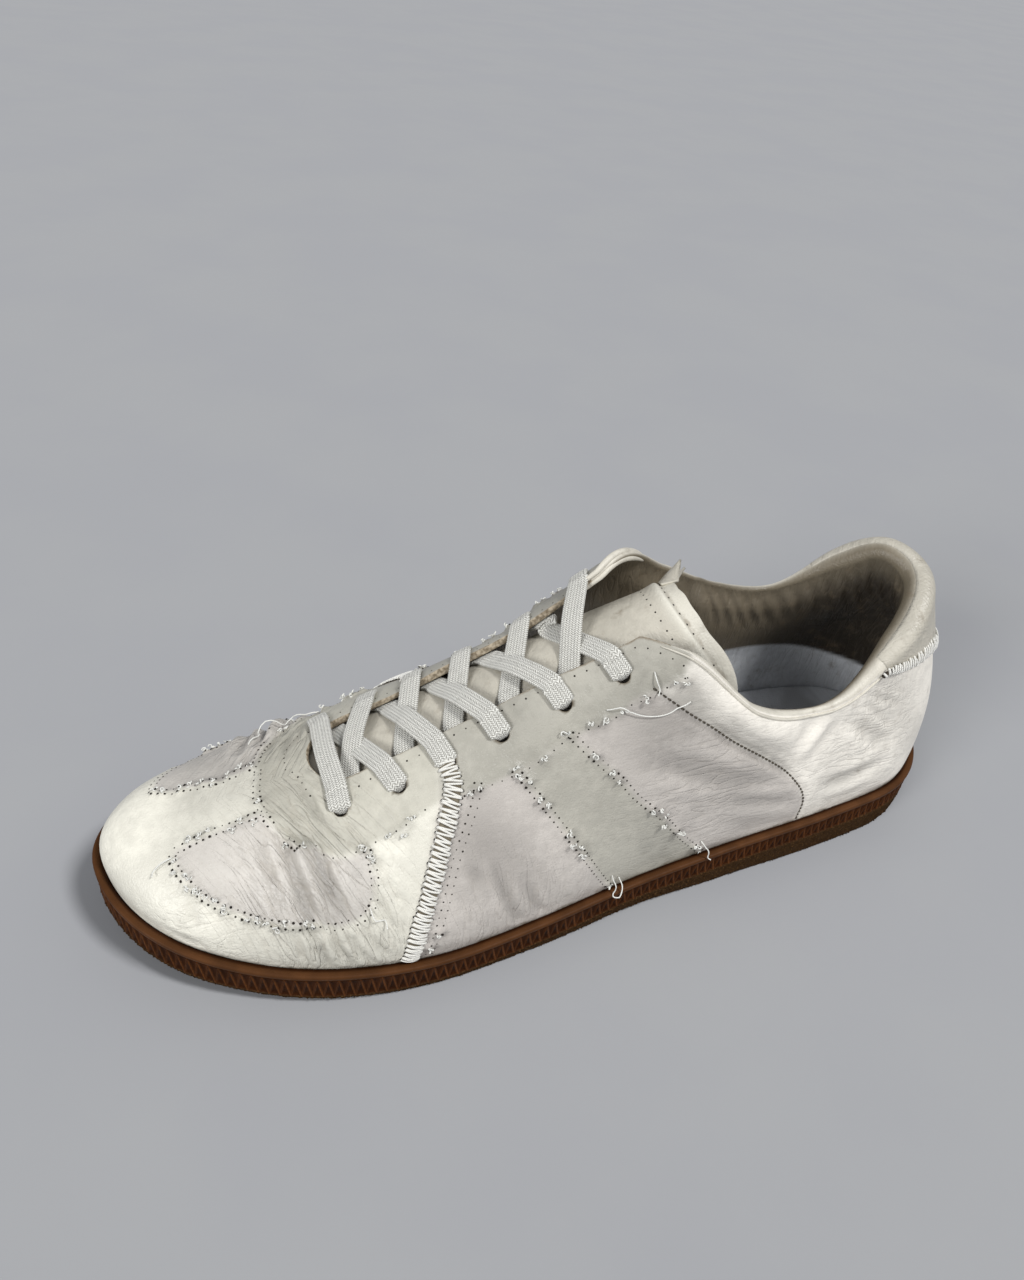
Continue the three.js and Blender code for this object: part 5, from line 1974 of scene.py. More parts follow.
@dataclass
class Insole:
    """The foot bed."""

    last: Last
    count: int = 300
    thickness: float = 3.4
    roll: float = 1.2
    half_roll: float = 0.35
    dish: float = 0.5
    steps: int = 18

    def build(self, shop: Workshop, material: Material) -> Piece:
        """Builds the foot bed."""
        inset = FEATHER_INSET + WALL + 2 * GAP
        stations = ring_stations(self.last, self.count, inset)
        rings = []
        shoulder = (self.half_roll, self.thickness - self.half_roll)
        profile = ((0.0, 0.0), (0.0, self.thickness - self.roll), shoulder, (self.roll, self.thickness))
        for inward, height in profile:
            rim, _ = self.last.sole_edge(stations, inset + inward)
            floor = self.last.lip_height(rim[:, 0]) - CUP_DEPTH + GAP
            rings.append(np.column_stack([rim, floor + height]))
        grid = np.stack(rings, 1)
        index = numbered(grid)
        bundle = Bundle()
        bundle.add(grid, grid_quads(np.concatenate([index, index[:1]])))
        bow = np.sin(np.pi * np.arange(1, self.steps) / self.steps)[None, :]
        for ring, dish in ((index[:, 0], 0.0), (index[:, -1], self.dish)):
            filled = rungs_between(grid.reshape(-1, 3), ring, self.steps)
            filled[..., 2] -= dish * bow
            bundle.fill(ring, filled, dish == 0.0)
        return shop.piece("insole_bed", bundle, [material], ["insole"])


TONGUE_SECTIONS = (
    (240, 46.0, 15, 3.8, 0, 0),
    (220, 53.4, 19, 6.2, 0, 0),
    (190, 66.6, 22, 9.4, 1, 0),
    (160, 81.6, 23.5, 14.5, 3, 0),
    (140, 90.6, 24, 17, 7, 0),
    (126, 96.2, 23.5, 18.5, 11, 0.2),
    (121.5, 97.8, 23, 18.5, 13, 1.6),
    (119, 98.4, 23, 18.5, 13.5, 0.2),
    (115, 99.6, 22.5, 18.5, 14.5, 0),
)


@dataclass
class Tongue:
    """The tongue with its rolled seam and raw flange at the top.

    Each row of TONGUE_SECTIONS holds x, z, half width, drop and sweep of its sides, and lift of the roll.
    """

    last: Last
    along: int = 176
    across: int = 64
    thickness: float = 2.0
    flange_thickness: float = 1.1
    lace_room: float = 1.3
    outer_reach: float = 0.12
    flex: tuple[float, float] = (0.15, 0.05)
    roll_section: float = 6.1
    flange_section: float = 7.0

    @staticmethod
    def sections(v: Array) -> list[Array]:
        """Gives x, z, half width, drop, sweep and lift between the rows of TONGUE_SECTIONS."""
        rows = np.array(TONGUE_SECTIONS, float)
        return [smooth_line(tuple(enumerate(column)), v) for column in rows.T]

    def point(self, v: Array, w: Array, lifted: bool = True) -> Array:
        """Points of the tongue's face.

        Args:
            v: Sections, 0 at the buried front end.
            w: Places from the inner side (-1) to the outer side (1).
            lifted: False to leave out the roll.

        Returns:
            The points.
        """
        x, z, half, drop, sweep, lift = self.sections(v)
        rise = lift * (1 - w**6) if lifted else 0.0
        room = self.lace_room * smoothstep(np.abs(w), 0.5, 0.75) * (1 - smoothstep(v, 4.2, 5.2))
        wave = smoothstep(v, 6.8, 8.0) * (0.25 * np.sin(7 * w + 0.6) + 0.12 * np.sin(19 * w))
        height = z - drop * w**2 + rise - room + 0.6 * wave
        return np.stack([x - sweep * w**2 - wave, self.last.centre_line(x) + half * w, height], -1)

    def faces(self) -> tuple[Skin, Array]:
        """Gives the upper face as a skin over (v, w) and the points of the lower face."""
        v = np.linspace(0, len(TONGUE_SECTIONS) - 1, self.along)
        w = np.linspace(-1, 1, self.across)
        grid_v, grid_w = np.meshgrid(v, w, indexing="ij")
        grid_w = grid_w * (1 + self.outer_reach * (grid_w > 0) * grid_w * smoothstep(grid_v, 5.0, 6.5))
        corner = np.clip((grid_w - 0.78) / 0.34, 0, 1) ** 2
        grid_v = grid_v - 0.85 * corner * np.clip(grid_v - 6.8, 0, None)
        top = self.point(grid_v, grid_w)
        plain = self.point(grid_v, grid_w, lifted=False)
        normals = unit(np.cross(np.gradient(plain, axis=0), np.gradient(plain, axis=1)))
        normals *= np.sign(normals[..., 2:])
        thin = smoothstep(grid_v, 6.4, 7.2)
        depth = self.thickness * (1 - thin) + self.flange_thickness * thin
        return Skin(v, w, top, normals), plain - depth[..., None] * normals

    def build(self, shop: Workshop, material: Material) -> Piece:
        """Builds the tongue."""
        skin, below = self.faces()
        loop = np.concatenate([skin.points, below[:, ::-1]], 1)
        index = numbered(loop)
        bundle = Bundle()
        bundle.add(loop, grid_quads(np.concatenate([index, index[:, :1]], 1)))
        n = self.across
        for row, turned in ((index[0], False), (index[-1], True)):
            quads = grid_quads(np.stack([row[:n], row[: n - 1 : -1]], 1))
            bundle.join(quads[:, ::-1] if turned else quads)
        made = shop.piece("tongue_leather", bundle, [material], ["tongue"])
        self.dress(made.data, loop.shape)
        return made

    def dress(self, mesh: Mesh, size: tuple[int, ...]) -> None:
        """Paints the tongue's colours and wear on the vertices."""
        v = np.repeat(np.linspace(0, len(TONGUE_SECTIONS) - 1, size[0])[:, None], size[1], 1)
        roll = np.exp(-(((v - self.roll_section) / 0.5) ** 2))
        flange = smoothstep(v, 6.7, 7.2)
        colour = np.array(TONGUE_BEIGE) + roll[..., None] * 0.6 * (np.array(CREAM) - np.array(TONGUE_BEIGE))
        colour = colour + flange[..., None] * 0.35 * (np.array(CREAM) - colour)
        colour[..., 3] = 1.0
        grime = 0.3 + 0.25 * np.exp(-(((v - self.flange_section) / 0.3) ** 2))
        Workshop.paint_leather(mesh, colour.reshape(-1, 4), grime.reshape(-1), *self.flex)

    def height(self, x: float, y: float) -> float:
        """Gives the height of the tongue's face under a point of the throat."""
        v = np.linspace(0, len(TONGUE_SECTIONS) - 1, 400)
        middle, _, half, *_ = self.sections(v)
        points = self.point(v, (y - self.last.centre_line(middle)) / half)
        return float(points[np.argmin(np.abs(points[:, 0] - x)), 2])


@dataclass
class Lace:
    """The flat cotton lace: a bar and five crossings, drawn through the eyelets."""

    upper: Upper
    tongue: Tongue
    width: float = 6.9
    thickness: float = 1.35
    neck_width: float = 4.0
    neck_thickness: float = 1.8
    neck_span: tuple[float, float] = (0.3, 2.6)
    clear: float = 0.12
    start_y: float = 8.2
    throat_share: float = 0.55
    neighbours: int = 6
    under: float = 0.3
    bar_rise: float = 1.6
    low_rise: float = 0.3
    high_rise: float = 1.8
    near_on_top: tuple[int, ...] = (1, 5)
    throat_up: tuple[float, float, float] = (0.42, 0.0, 0.9)
    steps: int = 14
    section: int = 18
    section_powers: tuple[float, float] = (0.55, 0.75)
    hidden_start: float = -3.6
    hidden_clear: float = 0.6
    hidden_reach: float = 3.0
    landing_shares: tuple[float, float, float, float] = (0.4, 0.72, 0.93, 1.04)
    eyelet_heights: tuple[float, float] = (0.5, -1.9)

    def hole(self, number: int, side: Side) -> Array:
        """Gives the middle of an eyelet, 0 in front."""
        s, u = self.upper.last.eyelet(EYELET_X[number], side)
        return self.upper.bare.at(np.array([s]), np.array([u]))[0][0]

    def over(self, spot: Array, side: Side, height: float) -> Knot:
        """Point over the leather beside the throat.

        Args:
            spot: Where it is, seen from above.
            side: Side of the foot.
            height: Its height over the leather.

        Returns:
            The point, and the direction away from the leather.
        """
        skin = self.upper.bare
        first, last = EYELET_STATIONS[side]
        columns = (skin.stations > first - 0.3) & (skin.stations < last + 0.3)
        rows = skin.shares > self.throat_share
        points = skin.points[columns][:, rows].reshape(-1, 3)
        normals = skin.normals[columns][:, rows].reshape(-1, 3)
        away = np.sum((points[:, :2] - spot[:2]) ** 2, axis=1)
        near = np.argsort(away)[: self.neighbours]
        weight = 1 / (away[near] + 0.05)
        normal = unit(weight @ normals[near])
        foot = np.array([spot[0], spot[1], weight @ points[near, 2] / weight.sum()])
        return foot + height * normal, normal

    def abreast(self, start: Array, end: Array, away: float) -> Array:
        """Point of a straight line that lies a given distance beside the middle of the throat.

        Args:
            start: One end of the line.
            end: Its other end.
            away: The distance, above 0 on the outer side.

        Returns:
            The point.
        """
        y = self.upper.last.centre_line((start[:1] + end[:1]) / 2)[0] + away
        return start + (end - start) * (y - start[1]) / (end[1] - start[1])

    def landing(self, start: Array, end: Array, side: Side) -> list[Knot]:
        """Knots over the throat edge, over the leather and down into an eyelet.

        Args:
            start: Eyelet that the strand comes from.
            end: Eyelet that it goes into.
            side: Side of that eyelet.

        Returns:
            Points with their upward directions.
        """
        rise = self.clear + self.thickness / 2
        edge = self.abreast(start, end, side.value * THROAT_HALF)
        point, normal = self.over(edge, side, rise)
        knots = [(point, unit(normal + unit(np.array(self.throat_up))))]
        for share, height in zip(self.landing_shares, (rise, rise, *self.eyelet_heights)):
            knots.append(self.over(edge + (end - edge) * share, side, height))
        return knots

    def crossing(self, number: int, side: Side, rise: float) -> list[Knot]:
        """Knots of one strand from under the eyestay of the other side into an eyelet.

        Args:
            number: Eyelet that it goes into. It comes from the one in front of that.
            side: Side of the eyelet that it goes into.
            rise: How high it passes over the tongue.

        Returns:
            Points with their upward directions.
        """
        up = unit(np.array(self.throat_up))
        other = Side.MEDIAL if side is Side.LATERAL else Side.LATERAL
        start, end = self.hole(number - 1, other), self.hole(number, side)
        drop = -(WALL + self.hidden_clear + self.thickness / 2)
        hidden = [self.over(start, other, self.hidden_start)]
        for away in (THROAT_HALF + self.hidden_reach, THROAT_HALF):
            hidden.append(self.over(self.abreast(start, end, other.value * away), other, drop))
        emerging = self.abreast(start, end, other.value * self.start_y)
        emerging[2] = self.tongue.height(emerging[0], emerging[1]) + self.under + self.thickness / 2
        landing = self.landing(start, end, side)
        middle = (emerging + landing[0][0]) / 2 + rise * up
        return [*hidden, (emerging, up), (middle, up), *landing]

    def bar(self) -> list[Knot]:
        """Gives the knots of the straight bar between the first two eyelets."""
        up = unit(np.array(self.throat_up))
        near, far = self.hole(0, Side.LATERAL), self.hole(0, Side.MEDIAL)
        first, second = self.landing(far, near, Side.LATERAL)[::-1], self.landing(near, far, Side.MEDIAL)
        middle = (first[-1][0] + second[0][0]) / 2 + self.bar_rise * up
        return [*first, (middle, up), *second]

    def strip(self, bundle: Bundle, knots: list[Knot]) -> float:
        """Adds one strand, drawn together in the eyelets at both ends.

        Args:
            bundle: Where it goes.
            knots: Points and upward directions.

        Returns:
            Length of the strand.
        """
        points = spline(np.array([point for point, _ in knots]), self.steps)
        ups = unit(spline(np.array([up for _, up in knots]), self.steps))
        tangents = unit(np.gradient(points, axis=0))
        side = unit(np.cross(tangents, ups))
        face = np.cross(side, tangents)
        length = run_length(points)
        neck = 1 - smoothstep(np.minimum(length, length[-1] - length), *self.neck_span)
        half = (self.width + (self.neck_width - self.width) * neck) / 2
        thick = (self.thickness + (self.neck_thickness - self.thickness) * neck) / 2
        turn = np.arange(self.section) * 2 * np.pi / self.section
        wide = np.sign(np.cos(turn)) * np.abs(np.cos(turn)) ** self.section_powers[0]
        high = np.sign(np.sin(turn)) * np.abs(np.sin(turn)) ** self.section_powers[1]
        ring = (half[:, None] * wide)[..., None] * side[:, None]
        ring = ring + (thick[:, None] * high)[..., None] * face[:, None]
        cloth = np.stack(np.broadcast_arrays(length[:, None], half.max() * wide[None, :]), -1)
        bundle.sleeve(points[:, None] + ring, True, cloth=cloth)
        return float(length[-1])

    def build(self, shop: Workshop, material: Material) -> Piece:
        """Builds the lace as one piece."""
        bundle = Bundle()
        total = self.strip(bundle, self.bar())
        nodes = ["lace_bar_1"]
        for number in range(1, len(EYELET_X)):
            near_high = number in self.near_on_top
            for side in Side:
                high = near_high == (side is Side.MEDIAL)
                rise = self.high_rise if high else self.low_rise
                total += self.strip(bundle, self.crossing(number, side, rise))
            nodes.append(f"lace_cross_{number + 1}")
        log.info("lace: %.0f mm in the eyelets", total)
        return shop.piece("flat_lace", bundle, [material], nodes)


@dataclass
class VampSeam:
    """The raised seam between vamp and quarter, overcast with thick thread."""

    upper: Upper
    side: Side
    half: float = 2.2
    height: float = 0.6
    pitch: float = 0.92
    thread: float = 0.34
    reach: float = 2.6
    hole: float = 0.45
    slants: tuple[float, float] = (1.5, 0.3)
    jitter: float = 0.2
    foot: float = -0.7
    over: float = 0.45
    section: int = 11
    stitch_steps: int = 13

    def build(self, shop: Workshop, materials: Sequence[Material]) -> Piece:
        """Builds the seam.

        Args:
            shop: Where pieces are made.
            materials: Thread, the leather strip under it painted dark as the shade between the stitches, and
                the painted shade of the needle holes.

        Returns:
            The piece.
        """
        lateral = self.side is Side.LATERAL
        route = SEAM_ROUTE if lateral else self.upper.last.across(SEAM_ROUTE)
        line = self.upper.creased.trace(route, self.pitch)
        sides = line.sides
        turn = np.linspace(0, np.pi, self.section)
        wide = np.concatenate([self.half * np.cos(turn), [-self.half, self.half]])
        high = np.concatenate([self.height * np.sin(turn) ** 0.7, [self.foot, self.foot]])
        ring = wide[None, :, None] * sides[:, None] + high[None, :, None] * line.normals[:, None]
        bundle = Bundle()
        # The strip under the thread is painted dark: painted shade between the stitches.
        bundle.sleeve(line.points[:, None] + ring, slot=1)
        f = np.linspace(0, 1, self.stitch_steps)[None, :, None]
        dice = np.random.default_rng(SEED)
        jitter = dice.normal(0, self.jitter, (len(line.points), 1, 1))
        lean = np.resize(self.slants, len(line.points))[:, None, None]
        slant = self.pitch * lean * (f - 0.5) + jitter
        rise = (self.height + self.over) * np.sin(np.pi * np.clip(f, 0.02, 0.98)) ** 0.5 - 0.1
        across = self.side.value * self.reach * (2 * f - 1) * (1 + 0.5 * jitter)
        paths = line.points[:, None] + slant * line.tangents[:, None] + across * sides[:, None]
        bundle.tubes((paths + rise * line.normals[:, None])[1:-1], self.thread, 7)
        up = line.normals[1:-1:2]
        for edge in (paths[1:-1:2, 0], paths[1:-1:2, -1]):
            bundle.discs(edge + 0.1 * up, up, np.full(len(edge), self.hole), 8, 2)
        node = f"vamp_seam_{self.side.name.lower()}"
        return shop.piece(f"{node}_thread", bundle, materials, [node])


LOOSE_THREADS = (
    ((5.62, 0.79, 0.2), (5.5, 0.77, 1.6), (5.36, 0.735, 1.2), (5.12, 0.748, 0.8), (4.92, 0.8, 1.4),
     (4.82, 0.83, 0.5)),
    ((5.3, 0.1, 0.2), (5.28, 0.05, 1.8), (5.29, 0.005, 3.6), (5.24, 0.0, 4.6), (5.2, 0.03, 2.8),
     (5.22, 0.07, 0.4)),
    ((4.38, 0.12, 0.2), (4.34, 0.07, 2.0), (4.3, 0.02, 3.4), (4.27, 0.0, 4.0)),
    ((5.23, 0.89, 0.3), (5.2, 0.86, 1.2), (5.16, 0.835, 0.8), (5.18, 0.81, 1.6)),
    ((15.1, 0.72, 0.3), (15.4, 0.64, 2.4), (15.8, 0.62, 1.6), (16.2, 0.68, 0.6)),
    ((7.64, 0.42, 0.2), (7.6, 0.37, 1.6), (7.52, 0.35, 0.9), (7.5, 0.31, 1.5)),
    ((10.3, 0.58, 0.2), (10.42, 0.53, 1.6), (10.5, 0.47, 0.8), (10.46, 0.44, 1.4)),
)


@dataclass
class Needlework:
    """What the seams left behind: needle holes, cut thread ends, loose threads and the dark heel seam."""

    upper: Upper
    hole: float = 0.43
    row_gap: float = 2.0
    fibre: float = 0.2
    fibres: int = 5
    loose: float = 0.2
    tuft_size: tuple[float, float] = (0.5, 0.9)
    fibre_turn: tuple[float, float] = (2.4, 5.2)
    fibre_loop: tuple[float, float] = (0.3, 0.8)
    fibre_lift: tuple[float, float] = (0.5, 1.3)
    fibre_shape: tuple[float, ...] = (1.0, 1.1, 1.15, 1.15, 1.1, 1.05, 1.0, 0.85, 0.5)
    seam_pitch: float = 1.9
    seam_thread: float = 0.29
    seam_reach: float = 0.42
    seam_sink: tuple[float, ...] = (-0.5, -0.1, 0.1, 0.15, 0.1, -0.1, -0.5)

    def build_holes(self, shop: Workshop, material: Material) -> Piece:
        """Builds the needle holes of all stitch lines, as dark discs of painted shade."""
        dice = np.random.default_rng(SEED)
        bundle = Bundle()
        for line in self.upper.lines:
            offsets = (0.0,) if line.rows == 1 else (-self.row_gap / 2, self.row_gap / 2)
            for offset in offsets:
                trace = self.upper.creased.trace(line.route, line.pitch, offset)
                radius = self.hole * dice.uniform(0.7, 1.15, len(trace.points))
                bundle.discs(trace.points, trace.normals, radius)
        return shop.piece("needle_holes", bundle, [material])

    def build_ends(self, shop: Workshop, material: Material) -> Piece:
        """Builds the frayed thread ends and the long loose threads."""
        dice = np.random.default_rng(SEED)
        skin = self.upper.creased
        points = skin.points.reshape(-1, 3)
        normals = skin.normals.reshape(-1, 3)
        bundle = Bundle()
        paths = []
        f = np.linspace(0, 1, len(self.fibre_shape))[:, None]
        for tuft in self.upper.tufts:
            nearest = np.argmin(np.sum((points - tuft) ** 2, axis=1))
            up = normals[nearest]
            size = dice.uniform(*self.tuft_size)
            for _ in range(self.fibres):
                across = unit(np.cross(up, dice.normal(0, 1, 3)))
                along = np.cross(up, across)
                turn = dice.uniform(0, 2 * np.pi) + dice.uniform(*self.fibre_turn) * f
                loop = size * dice.uniform(*self.fibre_loop)
                bend = (np.cos(turn) - np.cos(turn[0])) * across + (np.sin(turn) - np.sin(turn[0])) * along
                ring = loop * bend
                lift = size * dice.uniform(*self.fibre_lift) * np.sin(np.pi * 0.8 * f) - 0.25
                paths.append(points[nearest] + dice.normal(0, 0.3, 3) + ring + lift * up)
        radius = self.fibre * np.array(self.fibre_shape)
        bundle.tubes(np.array(paths), radius, 5)
        for knots in LOOSE_THREADS:
            route = spline(np.array(knots), 12)
            on_skin, up = skin.at(route[:, 0], route[:, 1])
            path = on_skin + route[:, 2:] * up
            bundle.tubes(path[None], self.loose, 6)
        return shop.piece("cut_threads", bundle, [material])

    def build_heel_seam(self, shop: Workshop, material: Material) -> Piece:
        """Builds the dark stitches of the seam between quarter and heel, on both sides."""
        bundle = Bundle()
        sink = np.array(self.seam_sink)[None, :, None]
        reach = np.linspace(-self.seam_reach, self.seam_reach, sink.size)[None, :, None] * self.seam_pitch
        for route in (HEEL_SEAM_ROUTE, self.upper.last.across(HEEL_SEAM_ROUTE)):
            line = self.upper.creased.trace(route, self.seam_pitch)
            paths = line.points[:, None] + reach * line.tangents[:, None] + sink * line.normals[:, None]
            bundle.tubes(paths, self.seam_thread, 6)
        return shop.piece("heel_seam_thread", bundle, [material])


@dataclass
class HeelTab:
    """The crescent patch over the top of the heel, whipped to the heel along its lower edge."""

    upper: Upper
    start: float = -2.35
    end: float = 2.1
    lowest: float = 0.66
    corner: float = 1.0
    thickness: float = 0.95
    rows: int = 18
    over_rim: float = 1.7
    stitch_pitch: float = 1.3
    stitch_reach: float = 6.0
    gap_reach: float = 2.6
    thread: float = 0.46
    piping: float = 0.5
    corner_piping: float = 1.15
    corner_ends: tuple[float, float] = (18.55, 19.5)
    piping_ends: tuple[float, float] = (5.2, 2.0)
    piping_share: float = 0.985
    whip_ends: tuple[float, float] = (0.25, 0.1)
    gap_pitch: float = 0.9
    # Girth of the dark tubes of painted shade in the gap.
    gap_shade_girth: float = 0.58
    whip_height: float = 0.75
    whip_lean: float = 0.9
    whip_jitter: float = 0.15
    whip_taper: tuple[float, float] = (1.15, 0.75)
    whip_steps: int = 11
    tab_wear: tuple[float, float, float] = (0.3, 0.25, 0.25)
    piping_wear: tuple[float, float, float] = (0.25, 0.1, 0.1)

    def low(self, s: Array) -> Array:
        """Gives the share where the tab's lower edge runs."""
        f = np.clip((s - self.start) / (self.end - self.start), 0.001, 0.999)
        return self.corner - (self.corner - self.lowest) * np.sin(np.pi * f) ** 0.8

    def build(self, shop: Workshop, material: Material) -> Piece:
        """Builds the patch, rolled over the collar's rim."""
        skin = self.upper.creased
        s = np.linspace(self.start, self.end, 150)
        low = self.low(s)
        fade = 0.06 + 0.94 * smoothstep(np.minimum(s - self.start, self.end - s), 0.0, 0.9)
        runs = []
        for f in np.linspace(0, 1, self.rows):
            point, normal = skin.at(s, low + (1 - low) * f)
            lift = self.thickness * min(1.0, 0.35 + 6 * f) * fade
            runs.append(point + lift[:, None] * normal)
        lining = self.upper.lining_points()
        inner = Skin(self.upper.stations, np.linspace(0, 1, lining.shape[1]), lining, np.zeros_like(lining))
        outer_end, normal = skin.at(s, np.ones_like(s))
        inner_end, _ = inner.at(s, np.ones_like(s))
        middle = (outer_end + inner_end) / 2
        half = (outer_end - inner_end) / 2
        up = unit(np.cross(np.gradient(outer_end, axis=0), normal))
        up *= np.sign(up[:, 2:])
        rolls = np.interp(s % ROUND, self.upper.stations, self.upper.rolls())[:, None]
        for turn in np.linspace(0, self.over_rim, 9)[1:]:
            lift = (self.thickness * fade * (1.05 - turn / self.over_rim))[:, None]
            across = (half + lift * unit(half)) * np.cos(turn)
            runs.append(middle + across + up * (rolls + lift) * np.sin(turn))
        runs.append(middle - 0.4 * up)
        foot, _ = skin.at(s, low)
        runs.append(outer_end - 0.4 * normal)
        runs.append(foot - 0.2 * normal)
        bundle = Bundle()
        bundle.sleeve(np.stack(runs, 1))
        made = shop.piece("heel_tab_leather", bundle, [material], ["heel_tab"])
        Workshop.paint_leather(made.data, TAB_CREAM, *self.tab_wear)
        return made

    def build_whipping(self, shop: Workshop, materials: Sequence[Material]) -> Piece:
        """Builds the whip stitches over the lower edge, and dark tubes of painted shade in the gap under
        them.

        Args:
            shop: Where pieces are made.
            materials: Thread, and the painted shade of the gap.

        Returns:
            The piece.
        """
        s = np.linspace(self.start + self.whip_ends[0], self.end + self.whip_ends[1], 60)
        line = self.upper.creased.trace(tuple(zip(s, self.low(s) - 0.01)), self.stitch_pitch)
        taper = np.sin(np.pi * np.clip(line.shares, 0.01, 0.99))[:, None] ** 0.35
        bundle = Bundle()
        # Dark tubes under the stitches: painted shade in the gap.
        for above in np.arange(0.0, self.gap_reach, self.gap_pitch):
            lift = self.thickness * float(smoothstep(np.array(above), 0.0, 1.6))
            path = line.points + lift * line.normals - taper * above * line.sides
            bundle.tubes(path[None], self.gap_shade_girth, 6, 1)
        dice = np.random.default_rng(SEED)
        jitter = dice.normal(0, self.whip_jitter, (len(line.points), 1, 1))
        taper = taper[:, None]
        f = np.linspace(0, 1, self.whip_steps)[None, :, None]
        rise = self.thickness * smoothstep(f, 0.0, 0.3) + self.whip_height * np.sin(np.pi * f) ** 0.6 - 0.25
        above = (self.stitch_reach * taper * (1 + jitter) * f - 0.5) * line.sides[:, None]
        paths = line.points[:, None] - above
        paths = paths + (jitter + self.whip_lean * f) * line.tangents[:, None] + rise * line.normals[:, None]
        girth = self.thread * np.linspace(*self.whip_taper, self.whip_steps)
        bundle.tubes(paths[1:-1], girth[None], 6)
        return shop.piece("tab_whipping", bundle, materials)

    def build_piping(self, shop: Workshop, material: Material) -> Piece:
        """Builds the thin piping along the collar's outer edge, on both sides."""
        bundle = Bundle()
        ends = [self.piping_ends, tuple(self.upper.last.mirrored(s) for s in self.piping_ends)]
        for start, end in ends:
            s = np.linspace(start, end, 90)
            point, normal = self.upper.creased.at(s, np.full_like(s, self.piping_share))
            girth = self.piping * np.sin(np.pi * np.linspace(0.01, 0.99, len(s))) ** 0.3
            bundle.tubes((point + 0.15 * normal)[None], girth[None], 10)
        s = np.linspace(*self.corner_ends, 40)
        outer, normal = self.upper.creased.at(s, np.ones_like(s))
        girth = self.corner_piping * np.sin(np.pi * np.linspace(0.04, 0.96, len(s))) ** 0.5
        for inward in (-0.3, WALL):
            bundle.tubes((outer - inward * normal)[None], girth[None], 12)
        made = shop.piece("collar_piping", bundle, [material])
        Workshop.paint_leather(made.data, PIPING_CREAM, *self.piping_wear)
        return made


@dataclass
class TongueTrim:
    """Needle holes of the tongue's rolled seam, and its torn corner."""

    tongue: Tongue
    pitch: float = 3.0
    hole: float = 0.45
    hole_sections: tuple[float, float] = (5.15, 6.72)
    hole_reach: float = 0.92
    row_length: float = 50.0
    pleat_span: tuple[float, float] = (-0.96, -0.3)
    pleat_height: float = 7.0
    pleat_foot: float = 6.9
    pleat_lean: tuple[float, float] = (-2.2, -1.5)
    pleat_lift: float = 0.5
    pleat_half: float = 0.4
    pleat_wear: tuple[float, float, float] = (0.35, 0.1, 0.1)

    def build_holes(self, shop: Workshop, material: Material) -> Piece:
        """Builds the two rows of holes before and behind the roll, as dark discs of painted shade."""
        skin, _ = self.tongue.faces()
        bundle = Bundle()
        for section in self.hole_sections:
            w = np.linspace(-self.hole_reach, self.hole_reach, int(self.row_length / self.pitch))
            row = np.interp(section, skin.stations, np.arange(len(skin.stations)))
            column = np.interp(w, skin.shares, np.arange(len(skin.shares)))
            i, j = int(row), column.astype(int)
            bundle.discs(skin.points[i, j], skin.normals[i, j], np.full(len(w), self.hole))
        return shop.piece("tongue_holes", bundle, [material])

    def build_torn_corner(self, shop: Workshop, material: Material) -> Piece:
        """Builds the two pleats of torn leather that stand up at the flange."""
        out = np.linspace(0, 1, 10)[:, None]
        along = np.linspace(0, 1.999, 40)[None, :]
        w = self.pleat_span[0] + (self.pleat_span[1] - self.pleat_span[0]) * along / 2
        base = self.tongue.point(self.pleat_foot + out + 0 * w, w + 0 * out)
        tooth = along % 1
        rise = self.pleat_height * out * (1 - tooth) ** 1.3 + self.pleat_lift
        back, side = self.pleat_lean
        face = base + np.stack([back * out + 0 * w, side * out * (1 - tooth), rise], -1)
        half = self.pleat_half * unit(np.cross(np.gradient(face, axis=0), np.gradient(face, axis=1)))
        loop = np.concatenate([face + half, (face - half)[:, ::-1]], 1)
        bundle = Bundle()
        bundle.sleeve(loop, True)
        made = shop.piece("tongue_torn_corner", bundle, [material])
        Workshop.paint_leather(made.data, TONGUE_BEIGE, *self.pleat_wear)
        return made


@dataclass(frozen=True)
class Lamp:
    """A soft lamp that shines evenly over the whole scene.

    Attributes:
        name: Its name.
        origin: Direction that its light comes from.
        spread: Angle in degrees that it fills in the sky.
        power: Its power in watts for each square metre.
    """

    name: str
    origin: tuple[float, float, float]
    spread: float
    power: float

    def build(self) -> None:
        """Adds the lamp to the stage."""
        data = bpy.data.lights.new(self.name, "SUN")
        data.energy = self.power
        data.angle = math.radians(self.spread)
        lamp = bpy.data.objects.new(self.name, data)
        lamp.rotation_euler = (-Vector(self.origin)).to_track_quat("-Z", "Y").to_euler()
        bpy.context.scene.collection.objects.link(lamp)


